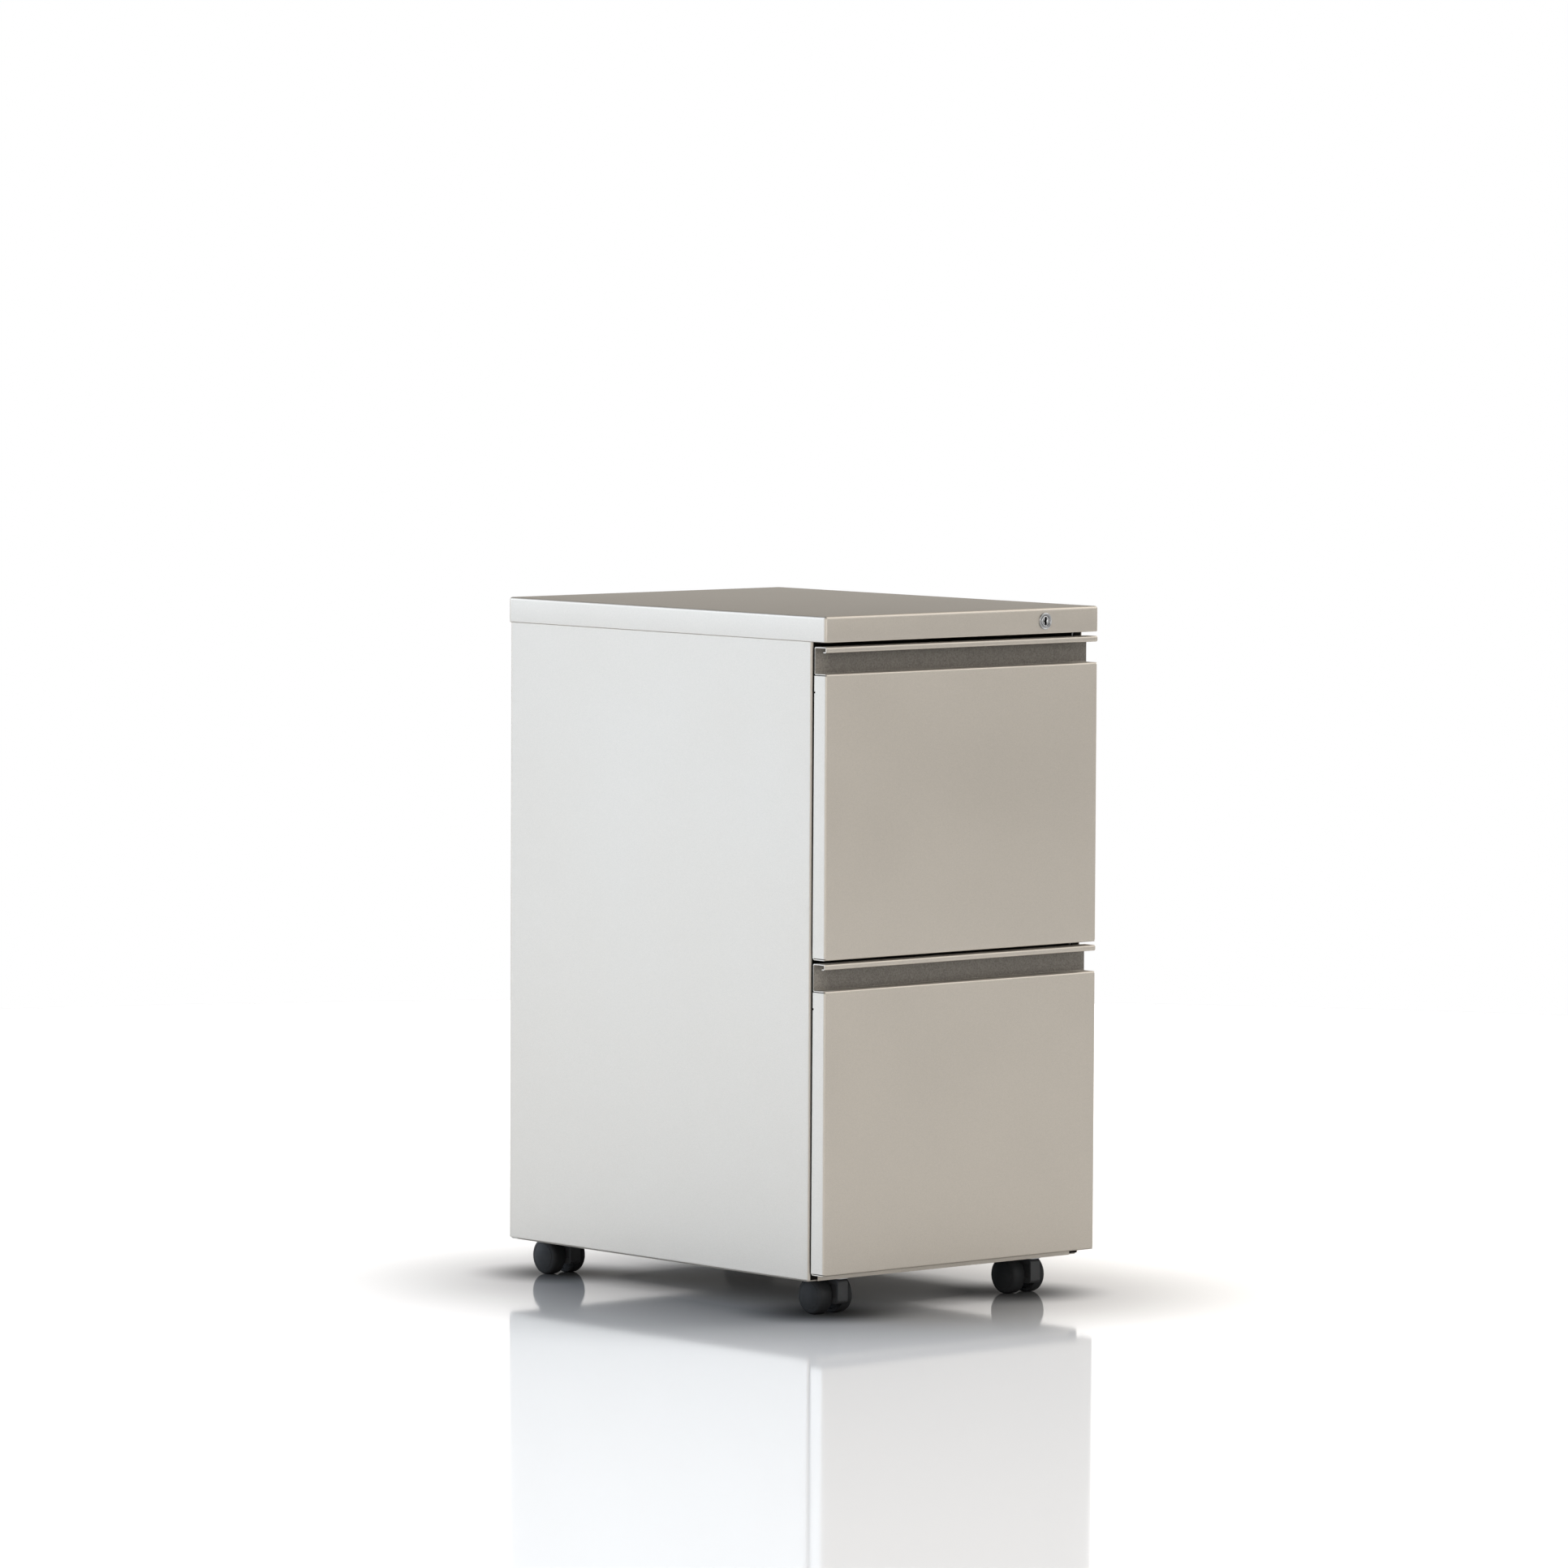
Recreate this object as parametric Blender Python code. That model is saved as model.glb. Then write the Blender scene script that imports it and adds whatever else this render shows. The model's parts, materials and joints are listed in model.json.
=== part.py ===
"""Two-drawer metal filing cabinet on casters, as an assembly of separate pieces.

Metres, +Z up. The origin is on the floor under the middle of the cabinet. The
drawers face -Y, so +X is on the right of a person who stands in front of it.
"""

import math

import bmesh
import bpy
from mathutils import Vector

# Overall size
WIDTH = 0.381  # over the top cap
DEPTH = 0.508  # over the top cap
HEIGHT = 0.724  # floor to top
LOCK_PROUD = 0.0012  # the lock stands this far in front of the cap
FRONT = (LOCK_PROUD - DEPTH) / 2  # front plane of the cap and the drawers
BACK = FRONT + DEPTH

# Sheet metal
SHEET = 0.001
GAP = 0.0003  # clearance between pieces that lie on each other
BEND = 0.0015  # middle radius of a fold
BEND_STEPS = 3
CUT = 0.01  # how far a cutting tool stands out of the metal

# Case
CAP_HEIGHT = 0.0268
CAP_BEND = 0.003
CAP_RETURN = 0.015
CAP_ROOM = 0.0017  # what the case stays below the cap's sheet, for the cap's inner folds
BACK_INSET = 0.0015  # what the case's back stays in from the cap's
CASE_HALF = WIDTH / 2 - SHEET - GAP
CASE_FRONT = FRONT + 0.0228
CASE_BACK = BACK - BACK_INSET
CASE_BOTTOM = 0.0398
CASE_TOP = HEIGHT - SHEET - CAP_ROOM
CASE_RETURN = 0.0122
CASE_BEND = 0.002
INNER_HALF = CASE_HALF - SHEET - GAP
FOLD_ROOM = 0.0012  # what a piece inside a side panel's fold stays back from its corner
INNER_FRONT = CASE_FRONT + SHEET + GAP + FOLD_ROOM
PAN_TOP = 0.048
PAN_WALL = 0.0012
PAN_INSET = 0.003  # what the pan's back stays in from the side panels' rear edges
ON_PAN = PAN_TOP + 0.0004
RAIL_DEPTH = 0.022
UNDER_CAP = HEIGHT - CAP_HEIGHT + 0.0018  # top of what ends inside the cap's height
COUNTERWEIGHT_HALF = 0.11
COUNTERWEIGHT_START = FRONT + 0.29
COUNTERWEIGHT_END = FRONT + 0.45
COUNTERWEIGHT_TOP = 0.078

# Drawers
DRAWER_HALF = 0.1895
DRAWER_THICK = 0.018
FACE_HEIGHT = 0.2932
FINGER_GAP = 0.0217
LIP_HEIGHT = 0.0059
HEM = 0.0045  # how far the lip and the bottom edge turn in
BOTTOM_RETURN = 0.012
DRAWER_HEIGHT = FACE_HEIGHT + FINGER_GAP + LIP_HEIGHT
DRAWER_BOTTOMS = {"lower": 0.0471, "upper": 0.3717}

# Telescopic slides, whose measures across are counted from the upright inwards
SLIDE_LENGTH = 0.45
SLIDE_THICK = 0.0127
SLIDE_SHEET = 0.0012
SLIDE_OUTER_HALF = 0.0225
SLIDE_STEP = 0.0037  # each member is this much lower at top and bottom than the one round it
SLIDE_START = FRONT + 0.026
SLIDE_LEVEL = 0.15  # above the drawer's bottom
UPRIGHT_DEPTH = 0.0112
UPRIGHT_WIDTH = 0.04
UPRIGHT_INNER = INNER_HALF - UPRIGHT_DEPTH
SLIDE_PLANE = UPRIGHT_INNER - GAP

# Drawer tubs
TUB_HALF = SLIDE_PLANE - SLIDE_THICK - GAP
TUB_FRONT = DRAWER_THICK + 0.0004
TUB_BACK = 0.47
TUB_BASE = 0.036
TUB_TOP = 0.286

# Lock
LOCK_X = 0.1144
LOCK_Z = HEIGHT - 0.0136
LOCK_HOLE = 0.0081
LOCK_LENGTH = 0.0234
LOCK_BORE = 0.0055
PLUG_RADIUS = 0.0052
ROD_RADIUS = 0.0025
CRANK_RADIUS = 0.008
CRANK_PIN = 0.002
CRANK_DROP = CRANK_RADIUS * math.sin(math.radians(45))
CRANK_Y = FRONT + 0.4885
LIFT = 2 * CRANK_DROP
BAR_FRONT = FRONT + 0.4925
BAR_BACK = BAR_FRONT + 0.0025
BAR_X = LOCK_X - (CRANK_RADIUS + CRANK_DROP) / 2
BAR_HALF = 0.008
BAR_PLAY = 0.0018  # room on each side of the bar in its guide
HOOK_METAL = 0.003
HOOK_REACH = 0.0165
HOOK_PLAY = 0.0005  # between the raised hook and the catch
GUIDE_LEVELS = (0.5, 0.53)
GUIDE_FOOT = 0.011
CATCH_LEVEL = 0.24  # bottom of the catch's lip above the drawer's bottom

# Casters
WHEEL_RADIUS = 0.0195
WHEEL_INNER = 0.0072
WHEEL_OUTER = 0.0242
WHEEL_SIDES = 24
TRAIL = 0.019
STEM_X = 0.135
STEM_INSET = 0.039
STEM_RADIUS = 0.0044
STEM_TOP = 0.072
STEM_HOLE = 0.006
SOCKET_TOP = 0.074
AXLE_RADIUS = 0.0028
AXLE_HALF = 0.0215
BODY_HALF = 0.0067
BODY_TOP = 0.0378
DISC_RADIUS = 0.011

# Colour, roughness and metallic value of each finish
FINISHES = {
    "paint": ((0.47, 0.43, 0.37), 0.38, 0.6),
    "inner_paint": ((0.40, 0.37, 0.32), 0.45, 0.5),
    "zinc": ((0.62, 0.63, 0.64), 0.32, 1.0),
    "nickel": ((0.72, 0.71, 0.69), 0.16, 1.0),
    "iron": ((0.10, 0.10, 0.10), 0.7, 0.4),
    "nylon": ((0.020, 0.020, 0.022), 0.42, 0.0),
    "axle_steel": ((0.55, 0.55, 0.56), 0.3, 1.0),
}


def clear_scene():
    for obj in list(bpy.data.objects):
        bpy.data.objects.remove(obj)


def material(slot):
    """The Principled material of one finish."""
    found = bpy.data.materials.get(slot)
    if found:
        return found
    colour, roughness, metallic = FINISHES[slot]
    made = bpy.data.materials.new(slot)
    made.use_nodes = True
    shader = made.node_tree.nodes["Principled BSDF"]
    shader.inputs["Base Color"].default_value = (*colour, 1)
    shader.inputs["Roughness"].default_value = roughness
    shader.inputs["Metallic"].default_value = metallic
    return made


def group(name, place=(0, 0, 0), parent=None):
    """An empty that carries the pieces of one body, on that body's joint axis."""
    empty = bpy.data.objects.new(name, None)
    bpy.context.scene.collection.objects.link(empty)
    empty.parent = parent
    empty.location = place
    return empty


def put(name, mesh, slot, parent, place=(0, 0, 0)):
    """A named piece made from a mesh, carried by an empty."""
    obj = bpy.data.objects.new(name, mesh)
    bpy.context.scene.collection.objects.link(obj)
    if not mesh.materials:
        mesh.materials.append(material(slot))
    obj.parent = parent
    obj.location = place
    return obj


# ---------------------------------------------------------------- shapes


def mesh_from(bm, smooth=False):
    bmesh.ops.recalc_face_normals(bm, faces=bm.faces)
    if bm.calc_volume(signed=True) < 0:
        bmesh.ops.reverse_faces(bm, faces=bm.faces)
    mesh = bpy.data.meshes.new("shape")
    bm.to_mesh(mesh)
    bm.free()
    if smooth:
        mesh.shade_smooth()
        mesh.set_sharp_from_angle(angle=math.radians(35))
    return mesh


def box(low, high, bevel=0.0, rounded=None):
    """A block between two corners. rounded(edge) picks the edges to bevel."""
    bm = bmesh.new()
    bmesh.ops.create_cube(bm, size=1)
    low, high = Vector(low), Vector(high)
    for vertex in bm.verts:
        for axis in range(3):
            vertex.co[axis] = high[axis] if vertex.co[axis] > 0 else low[axis]
    if bevel:
        edges = [edge for edge in bm.edges if rounded(edge)]
        bmesh.ops.bevel(
            bm, geom=edges, offset=bevel, segments=BEND_STEPS, affect="EDGES", profile=0.5
        )
    return mesh_from(bm)


def place_point(axis, a, b, along):
    """A point of an outline in the plane across an axis."""
    return {"X": (along, a, b), "Y": (a, along, b), "Z": (a, b, along)}[axis]


def extruded(outline, axis, start, end):
    """A flat outline drawn out along an axis. The outline's two values are the other axes in order."""
    bm = bmesh.new()
    corners = [bm.verts.new(place_point(axis, a, b, start)) for a, b in outline]
    face = bm.faces.new(corners)
    moved = bmesh.ops.extrude_face_region(bm, geom=[face])["geom"]
    step = Vector(place_point(axis, 0, 0, end - start))
    bmesh.ops.translate(bm, vec=step, verts=[v for v in moved if isinstance(v, bmesh.types.BMVert)])
    return mesh_from(bm)


def turned(profile, axis, sides, smooth=True):
    """A profile of (radius, place along the axis) points turned once round an axis."""
    bm = bmesh.new()
    points = [bm.verts.new((radius, 0, along)) for radius, along in profile]
    edges = [bm.edges.new(pair) for pair in zip(points, points[1:])]
    if profile[0][0] > 0:
        edges.append(bm.edges.new((points[-1], points[0])))
    bmesh.ops.spin(
        bm, geom=points + edges, cent=(0, 0, 0), axis=(0, 0, 1), angle=math.tau, steps=sides
    )
    bmesh.ops.remove_doubles(bm, verts=bm.verts, dist=1e-6)
    for vertex in bm.verts:
        x, y, z = vertex.co
        vertex.co = {"X": (z, x, y), "Y": (y, z, x), "Z": (x, y, z)}[axis]
    return mesh_from(bm, smooth)


def cylinder(radius, axis, start, end, sides=24, middle=(0, 0)):
    """A plain round bar. middle is its axis, in the order that extruded takes."""
    turns = [math.tau * i / sides for i in range(sides)]
    ring = [(middle[0] + radius * math.cos(t), middle[1] + radius * math.sin(t)) for t in turns]
    return extruded(ring, axis, start, end)


def arc(middle, radius, first, last, steps):
    """Points on an arc, with its two ends in degrees."""
    turns = [math.radians(first + (last - first) * i / steps) for i in range(steps + 1)]
    return [(middle[0] + radius * math.cos(t), middle[1] + radius * math.sin(t)) for t in turns]


def boolean(mesh, tool, operation):
    """A mesh with a tool cut from it or joined to it."""
    body = bpy.data.objects.new("body", mesh)
    helper = bpy.data.objects.new("tool", tool)
    for obj in (body, helper):
        bpy.context.scene.collection.objects.link(obj)
    modifier = body.modifiers.new("Boolean", "BOOLEAN")
    modifier.object = helper
    modifier.operation = operation
    modifier.solver = "EXACT"
    bpy.context.view_layer.update()
    graph = bpy.context.evaluated_depsgraph_get()
    result = bpy.data.meshes.new_from_object(body.evaluated_get(graph))
    for obj in (body, helper):
        bpy.data.objects.remove(obj)
    return result


def cut(mesh, tool):
    return boolean(mesh, tool, "DIFFERENCE")


def join(mesh, tool):
    return boolean(mesh, tool, "UNION")


def left_of(direction):
    return Vector((-direction.y, direction.x))


def shifted(path, distance):
    """A path of straight runs moved to its left by a distance, with its corners kept sharp."""
    points = [Vector(point) for point in path]
    runs = [left_of((b - a).normalized()) for a, b in zip(points, points[1:])]
    sides = [runs[0]]
    sides += [(a + b) / (1 + a.dot(b)) for a, b in zip(runs, runs[1:])]
    sides.append(runs[-1])
    return [point + side * distance for point, side in zip(points, sides)]


def with_bends(path, radius):
    """(point, left side) pairs along a path whose corners are rounded."""
    samples = [(path[0], left_of((path[1] - path[0]).normalized()))]
    for before, corner, after in zip(path, path[1:], path[2:]):
        inward = (corner - before).normalized()
        outward = (after - corner).normalized()
        turn = math.atan2(inward.x * outward.y - inward.y * outward.x, inward.dot(outward))
        way = math.copysign(1, turn)
        start = corner - inward * radius * math.tan(abs(turn) / 2)
        middle = start + left_of(inward) * way * radius
        heading = math.atan2(inward.y, inward.x)
        for i in range(BEND_STEPS + 1):
            now = heading + turn * i / BEND_STEPS
            side = left_of(Vector((math.cos(now), math.sin(now))))
            samples.append((middle - side * way * radius, side))
    samples.append((path[-1], left_of((path[-1] - path[-2]).normalized())))
    return samples


def folded(skin, thickness=SHEET, radius=BEND):
    """The outline of a folded sheet. skin is one of its sides, and the metal lies to the left."""
    samples = with_bends(shifted(skin, thickness / 2), radius)
    near = [tuple(point - side * thickness / 2) for point, side in samples]
    far = [tuple(point + side * thickness / 2) for point, side in samples]
    return near + far[::-1]


def mirrored(outline, side):
    """An outline drawn for the right side, or its mirror image for the left."""
    return [(side * a, b) for a, b in outline]


# ---------------------------------------------------------------- case


def top_cap():
    """Folded cover with five sides, a turned-in lower front edge and a hole for the lock."""

    def upper_or_corner(edge):
        a, b = (vertex.co for vertex in edge.verts)
        middle_z = (a.z + b.z) / 2
        return a.z != b.z or middle_z > HEIGHT - CAP_HEIGHT / 2

    half = WIDTH / 2
    bottom = HEIGHT - CAP_HEIGHT
    outer = box((-half, FRONT, bottom), (half, BACK, HEIGHT), CAP_BEND, upper_or_corner)
    room = box(
        (SHEET - half, FRONT + SHEET, bottom - CAP_HEIGHT),
        (half - SHEET, BACK - SHEET, HEIGHT - SHEET),
        CAP_BEND - SHEET,
        upper_or_corner,
    )
    shell = cut(outer, room)
    turned_in = box(
        (-CASE_HALF + CAP_BEND, FRONT + SHEET / 2, bottom + SHEET / 5),
        (CASE_HALF - CAP_BEND, FRONT + CAP_RETURN, bottom + SHEET),
    )
    shell = join(shell, turned_in)
    hole = cylinder(LOCK_HOLE, "Y", FRONT - CUT, FRONT + CUT, 32, (LOCK_X, LOCK_Z))
    return cut(shell, hole)


def side_panel(side):
    """Sheet side with rounded edges that turn in at the front and the back."""
    inner_edge = CASE_HALF - CASE_RETURN
    skin = [
        (inner_edge, CASE_FRONT),
        (CASE_HALF, CASE_FRONT),
        (CASE_HALF, CASE_BACK),
        (inner_edge, CASE_BACK),
    ]
    return extruded(mirrored(folded(skin, radius=CASE_BEND), side), "Z", CASE_BOTTOM, CASE_TOP)


def upright(side, start):
    """Channel behind a side panel that two slides are fixed to."""
    end = start + UPRIGHT_WIDTH
    skin = [(INNER_HALF, end), (UPRIGHT_INNER, end), (UPRIGHT_INNER, start), (INNER_HALF, start)]
    return extruded(mirrored(folded(skin), side), "Z", ON_PAN, UNDER_CAP)


def back_panel():
    outer = CASE_BACK - SHEET - GAP
    half = INNER_HALF - FOLD_ROOM
    return box((-half, outer - SHEET, CASE_BOTTOM), (half, outer, CASE_TOP))


def bottom_pan(stems):
    """Tray with its walls down, and a hole for each caster stem."""
    low = (-INNER_HALF, INNER_FRONT, CASE_BOTTOM)
    high = (INNER_HALF, CASE_BACK - PAN_INSET, PAN_TOP)
    pan = box(low, high)
    room_low = (low[0] + PAN_WALL, low[1] + PAN_WALL, CASE_BOTTOM - CUT)
    room_high = (high[0] - PAN_WALL, high[1] - PAN_WALL, PAN_TOP - PAN_WALL)
    pan = cut(pan, box(room_low, room_high))
    for x, y in stems.values():
        pan = cut(pan, cylinder(STEM_HOLE, "Z", CASE_BOTTOM, PAN_TOP + CUT, 16, (x, y)))
    return pan


def bottom_front_rail():
    """Angle under the lower drawer, flush with the case's front edge."""
    top = ON_PAN + SHEET
    flange = 0.0034
    skin = [(CASE_FRONT + flange, top), (CASE_FRONT, top), (CASE_FRONT, CASE_BOTTOM)]
    end_gap = 0.0005
    half = UPRIGHT_INNER - end_gap
    return extruded(folded(skin), "X", -half, half)


def top_front_rail():
    """Channel across the case under the cap, with a hole for the lock's rod."""
    front = INNER_FRONT
    back = front + RAIL_DEPTH
    end_gap = 0.0005
    top = CASE_TOP - end_gap
    bottom = UNDER_CAP + end_gap
    skin = [(back, top), (front, top), (front, bottom), (back, bottom)]
    rail = extruded(folded(skin), "X", -INNER_HALF, INNER_HALF)
    hole = cylinder(ROD_RADIUS + 0.002, "Y", front - CUT / 2, front + CUT / 2, 16, (LOCK_X, LOCK_Z))
    return cut(rail, hole)


def counterweight():
    """Iron block on the pan at the back, which keeps the cabinet from tipping when a drawer is out."""
    low = (-COUNTERWEIGHT_HALF, COUNTERWEIGHT_START, ON_PAN)
    return box(low, (COUNTERWEIGHT_HALF, COUNTERWEIGHT_END, COUNTERWEIGHT_TOP))


# ---------------------------------------------------------------- lock


def lock_housing():
    """Flanged barrel in the cap's front, around the lock's own axis."""
    barrel, flange, chamfer = 0.0078, 0.0087, 0.0004
    face = -LOCK_PROUD
    profile = [
        (LOCK_BORE, face),
        (flange - chamfer, face),
        (flange, face + chamfer),
        (flange, -GAP),
        (barrel, -GAP),
        (barrel, LOCK_LENGTH),
        (LOCK_BORE, LOCK_LENGTH),
    ]
    return turned(profile, "Y", 32)


def lock_plug():
    """Barrel that the key turns, with its key slot upright."""
    sunk, slot_half, slot_reach, slot_depth = 0.0004, 0.0006, 0.003, 0.009
    face = -LOCK_PROUD + sunk
    profile = [(0, face), (PLUG_RADIUS, face), (PLUG_RADIUS, LOCK_LENGTH), (0, LOCK_LENGTH)]
    slot_low = (-slot_half, face - CUT, -slot_reach)
    slot = box(slot_low, (slot_half, face + slot_depth, slot_reach))
    return cut(turned(profile, "Y", 32), slot)


def lock_rod():
    """Rod from the lock to the back, with a crank and its pin."""
    disc, disc_metal, pin_length = 0.0105, 0.003, 0.008
    start = LOCK_LENGTH + 0.0004
    crank = CRANK_Y - FRONT
    end = crank + disc_metal
    profile = [
        (0, start),
        (ROD_RADIUS, start),
        (ROD_RADIUS, crank),
        (disc, crank),
        (disc, end),
        (0, end),
    ]
    rod = turned(profile, "Y", 20)
    where = (-CRANK_DROP, -CRANK_DROP)
    pin = cylinder(CRANK_PIN, "Y", crank + disc_metal / 2, crank + pin_length, 12, where)
    return join(rod, pin)


def lock_bar():
    """Upright bar behind the drawers, with a hook for each drawer and a slot for the crank's pin."""
    top = LOCK_Z - 0.0009
    finger_drop = 0.002  # what the finger's tip stays under the catch at rest
    outline = [(BAR_BACK, top), (BAR_FRONT, top)]
    for level in ("upper", "lower"):
        catch = DRAWER_BOTTOMS[level] + CATCH_LEVEL
        arm_top = catch - LIFT - HOOK_PLAY
        tip = BAR_FRONT - HOOK_REACH
        outline += [
            (BAR_FRONT, arm_top),
            (tip + HOOK_METAL, arm_top),
            (tip + HOOK_METAL, catch - finger_drop),
            (tip, catch - finger_drop),
            (tip, arm_top - HOOK_METAL),
            (BAR_FRONT, arm_top - HOOK_METAL),
        ]
    bottom = outline[-1][1] - finger_drop
    outline += [(BAR_FRONT, bottom), (BAR_BACK, bottom)]
    bar = extruded(outline, "X", BAR_X - BAR_HALF, BAR_X + BAR_HALF)
    spare = 0.0006
    reach_x = (CRANK_RADIUS - CRANK_DROP) / 2 + CRANK_PIN + spare
    reach_z = CRANK_PIN + spare
    slot_z = LOCK_Z - CRANK_DROP
    slot = box(
        (BAR_X - reach_x, BAR_FRONT - CUT, slot_z - reach_z),
        (BAR_X + reach_x, BAR_BACK + CUT, slot_z + reach_z),
    )
    return cut(bar, slot)


def lock_bar_guide():
    """Strap on the back panel that the bar slides in."""
    half = BAR_HALF + BAR_PLAY
    back = CASE_BACK - 3 * SHEET - 2 * GAP
    near = BAR_FRONT - 2 * SHEET
    skin = [
        (BAR_X - half - GUIDE_FOOT, back),
        (BAR_X - half, back),
        (BAR_X - half, near),
        (BAR_X + half, near),
        (BAR_X + half, back),
        (BAR_X + half + GUIDE_FOOT, back),
    ]
    return extruded(folded(skin), "Z", *GUIDE_LEVELS)


# ---------------------------------------------------------------- drawers


def drawer_front():
    """Folded front with its finger pull. Its own origin is at the front, on the lower edge."""
    lip_low = FACE_HEIGHT + FINGER_GAP
    wall = DRAWER_THICK - SHEET
    skin = [
        (HEM, lip_low + SHEET),
        (SHEET, lip_low + SHEET),
        (SHEET, DRAWER_HEIGHT - SHEET),
        (wall, DRAWER_HEIGHT - SHEET),
        (wall, FACE_HEIGHT),
        (0, FACE_HEIGHT),
        (0, 0),
        (DRAWER_THICK, 0),
        (DRAWER_THICK, BOTTOM_RETURN),
    ]
    step, inset = 0.0002, 0.0008  # the flanges end inside the folds, clear of their faces
    front = extruded(folded(skin), "X", step - DRAWER_HALF, DRAWER_HALF - step)
    for side in (-1, 1):
        ends = sorted((side * DRAWER_HALF, side * (DRAWER_HALF - SHEET)))
        flange = box((ends[0], inset, inset), (ends[1], DRAWER_THICK, FACE_HEIGHT - inset))
        front = join(front, flange)
    return front


def drawer_tub():
    """Sheet box, open at the top, behind the drawer's front."""
    outer = box((-TUB_HALF, TUB_FRONT, TUB_BASE), (TUB_HALF, TUB_BACK, TUB_TOP))
    room = box(
        (SHEET - TUB_HALF, TUB_FRONT + SHEET, TUB_BASE + SHEET),
        (TUB_HALF - SHEET, TUB_BACK - SHEET, TUB_TOP + CUT),
    )
    return cut(outer, room)


def hanging_rail(side):
    """Folded strip over a tub's side, which the hooks of the files hang on."""
    inner = TUB_HALF - 2 * SHEET - GAP
    outer = TUB_HALF + SHEET + GAP
    crown, leg, end_gap = TUB_TOP + 0.004, TUB_TOP - 0.012, 0.006
    skin = [(outer, leg), (outer, crown), (inner, crown), (inner, leg)]
    outline = mirrored(folded(skin, radius=0.0008), side)
    return extruded(outline, "Y", TUB_FRONT + end_gap, TUB_BACK - end_gap)


def drawer_catch():
    """Bracket on the tub's back with a lip that the lock's hook holds."""
    metal, bend, half = 0.0015, 0.0014, 0.009
    foot = TUB_BACK + GAP
    lip = foot + 0.0162
    plate = CATCH_LEVEL + 0.0135
    foot_top = plate + 0.0165
    skin = [(foot, foot_top), (foot, plate), (lip, plate), (lip, CATCH_LEVEL)]
    return extruded(folded(skin, metal, bend), "X", BAR_X - half, BAR_X + half)


def slide_member(side, web, reach, half, opens_in):
    """One C-shaped member. web and reach are counted inwards from the slide's outer plane."""
    near, far = SLIDE_PLANE - web, SLIDE_PLANE - reach
    skin = [(far, half), (near, half), (near, -half), (far, -half)]
    if opens_in:
        skin = skin[::-1]
    outline = mirrored(folded(skin, SLIDE_SHEET, 0.001), side)
    return extruded(outline, "Y", 0, SLIDE_LENGTH)


def slide_outer(side):
    return slide_member(side, 0, 0.0105, SLIDE_OUTER_HALF, True)


def slide_middle(side):
    return slide_member(side, 0.0022, 0.0105, SLIDE_OUTER_HALF - SLIDE_STEP, True)


def slide_inner(side):
    return slide_member(side, SLIDE_THICK, 0.005, SLIDE_OUTER_HALF - 2 * SLIDE_STEP, False)


# ---------------------------------------------------------------- casters


def caster_socket():
    """Flanged sleeve on the pan that grips the stem."""
    inner, outer, flange = STEM_RADIUS + 0.0004, 0.0075, 0.0125
    flange_top = ON_PAN + 0.0016
    profile = [
        (inner, ON_PAN),
        (flange, ON_PAN),
        (flange, flange_top),
        (outer, flange_top),
        (outer, SOCKET_TOP),
        (inner, SOCKET_TOP),
    ]
    return turned(profile, "Z", 16)


def caster_body():
    """Strut between the two wheels, with the bearing disc and the stem above it."""
    front, low, back = -0.0085, 0.012, 0.0125
    shoulder_radius, toe_radius = 0.004, 0.003
    hub = arc((TRAIL, WHEEL_RADIUS), WHEEL_RADIUS - low, 60, -90, 8)
    shoulder_middle = (front + shoulder_radius, BODY_TOP - shoulder_radius)
    shoulder = arc(shoulder_middle, shoulder_radius, 180, 90, 3)
    toe = arc((front + toe_radius, low + toe_radius), toe_radius, 270, 180, 3)
    outline = shoulder + [(back, BODY_TOP)] + hub + toe
    body = extruded(outline, "X", -BODY_HALF, BODY_HALF)
    root, disc_low, disc_top = BODY_TOP - 0.003, BODY_TOP + 0.0002, CASE_BOTTOM - 0.0005
    disc = [
        (0, root),
        (STEM_RADIUS, root),
        (STEM_RADIUS, disc_low),
        (DISC_RADIUS, disc_low),
        (DISC_RADIUS, disc_top),
        (STEM_RADIUS, disc_top),
        (STEM_RADIUS, STEM_TOP),
        (0, STEM_TOP),
    ]
    body = join(body, turned(disc, "Z", 20))
    bore = cylinder(AXLE_RADIUS + GAP, "X", -CUT, CUT, 12, (TRAIL, WHEEL_RADIUS))
    return cut(body, bore)


def caster_wheel(side):
    """Wheel with a domed outer face and a blind bore, around its own axis."""
    bore, bore_end, chamfer = AXLE_RADIUS + GAP, AXLE_HALF + 0.0005, 0.0015
    crown, dome = 0.0045, 0.002
    shoulder = arc((WHEEL_RADIUS - crown, WHEEL_OUTER - dome - crown), crown, 0, 60, 3)
    profile = [(0, bore_end), (bore, bore_end), (bore, WHEEL_INNER)]
    profile += [(WHEEL_RADIUS - chamfer, WHEEL_INNER), (WHEEL_RADIUS, WHEEL_INNER + chamfer)]
    profile += shoulder
    rim_radius, rim_along = profile[-1]
    rise = WHEEL_OUTER - rim_along
    for share in (0.66, 0.33):
        profile.append((rim_radius * share, rim_along + rise * (1 - share**2)))
    profile.append((0, WHEEL_OUTER))
    return turned([(radius, side * along) for radius, along in profile], "X", WHEEL_SIDES)


# ---------------------------------------------------------------- assembly


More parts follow.
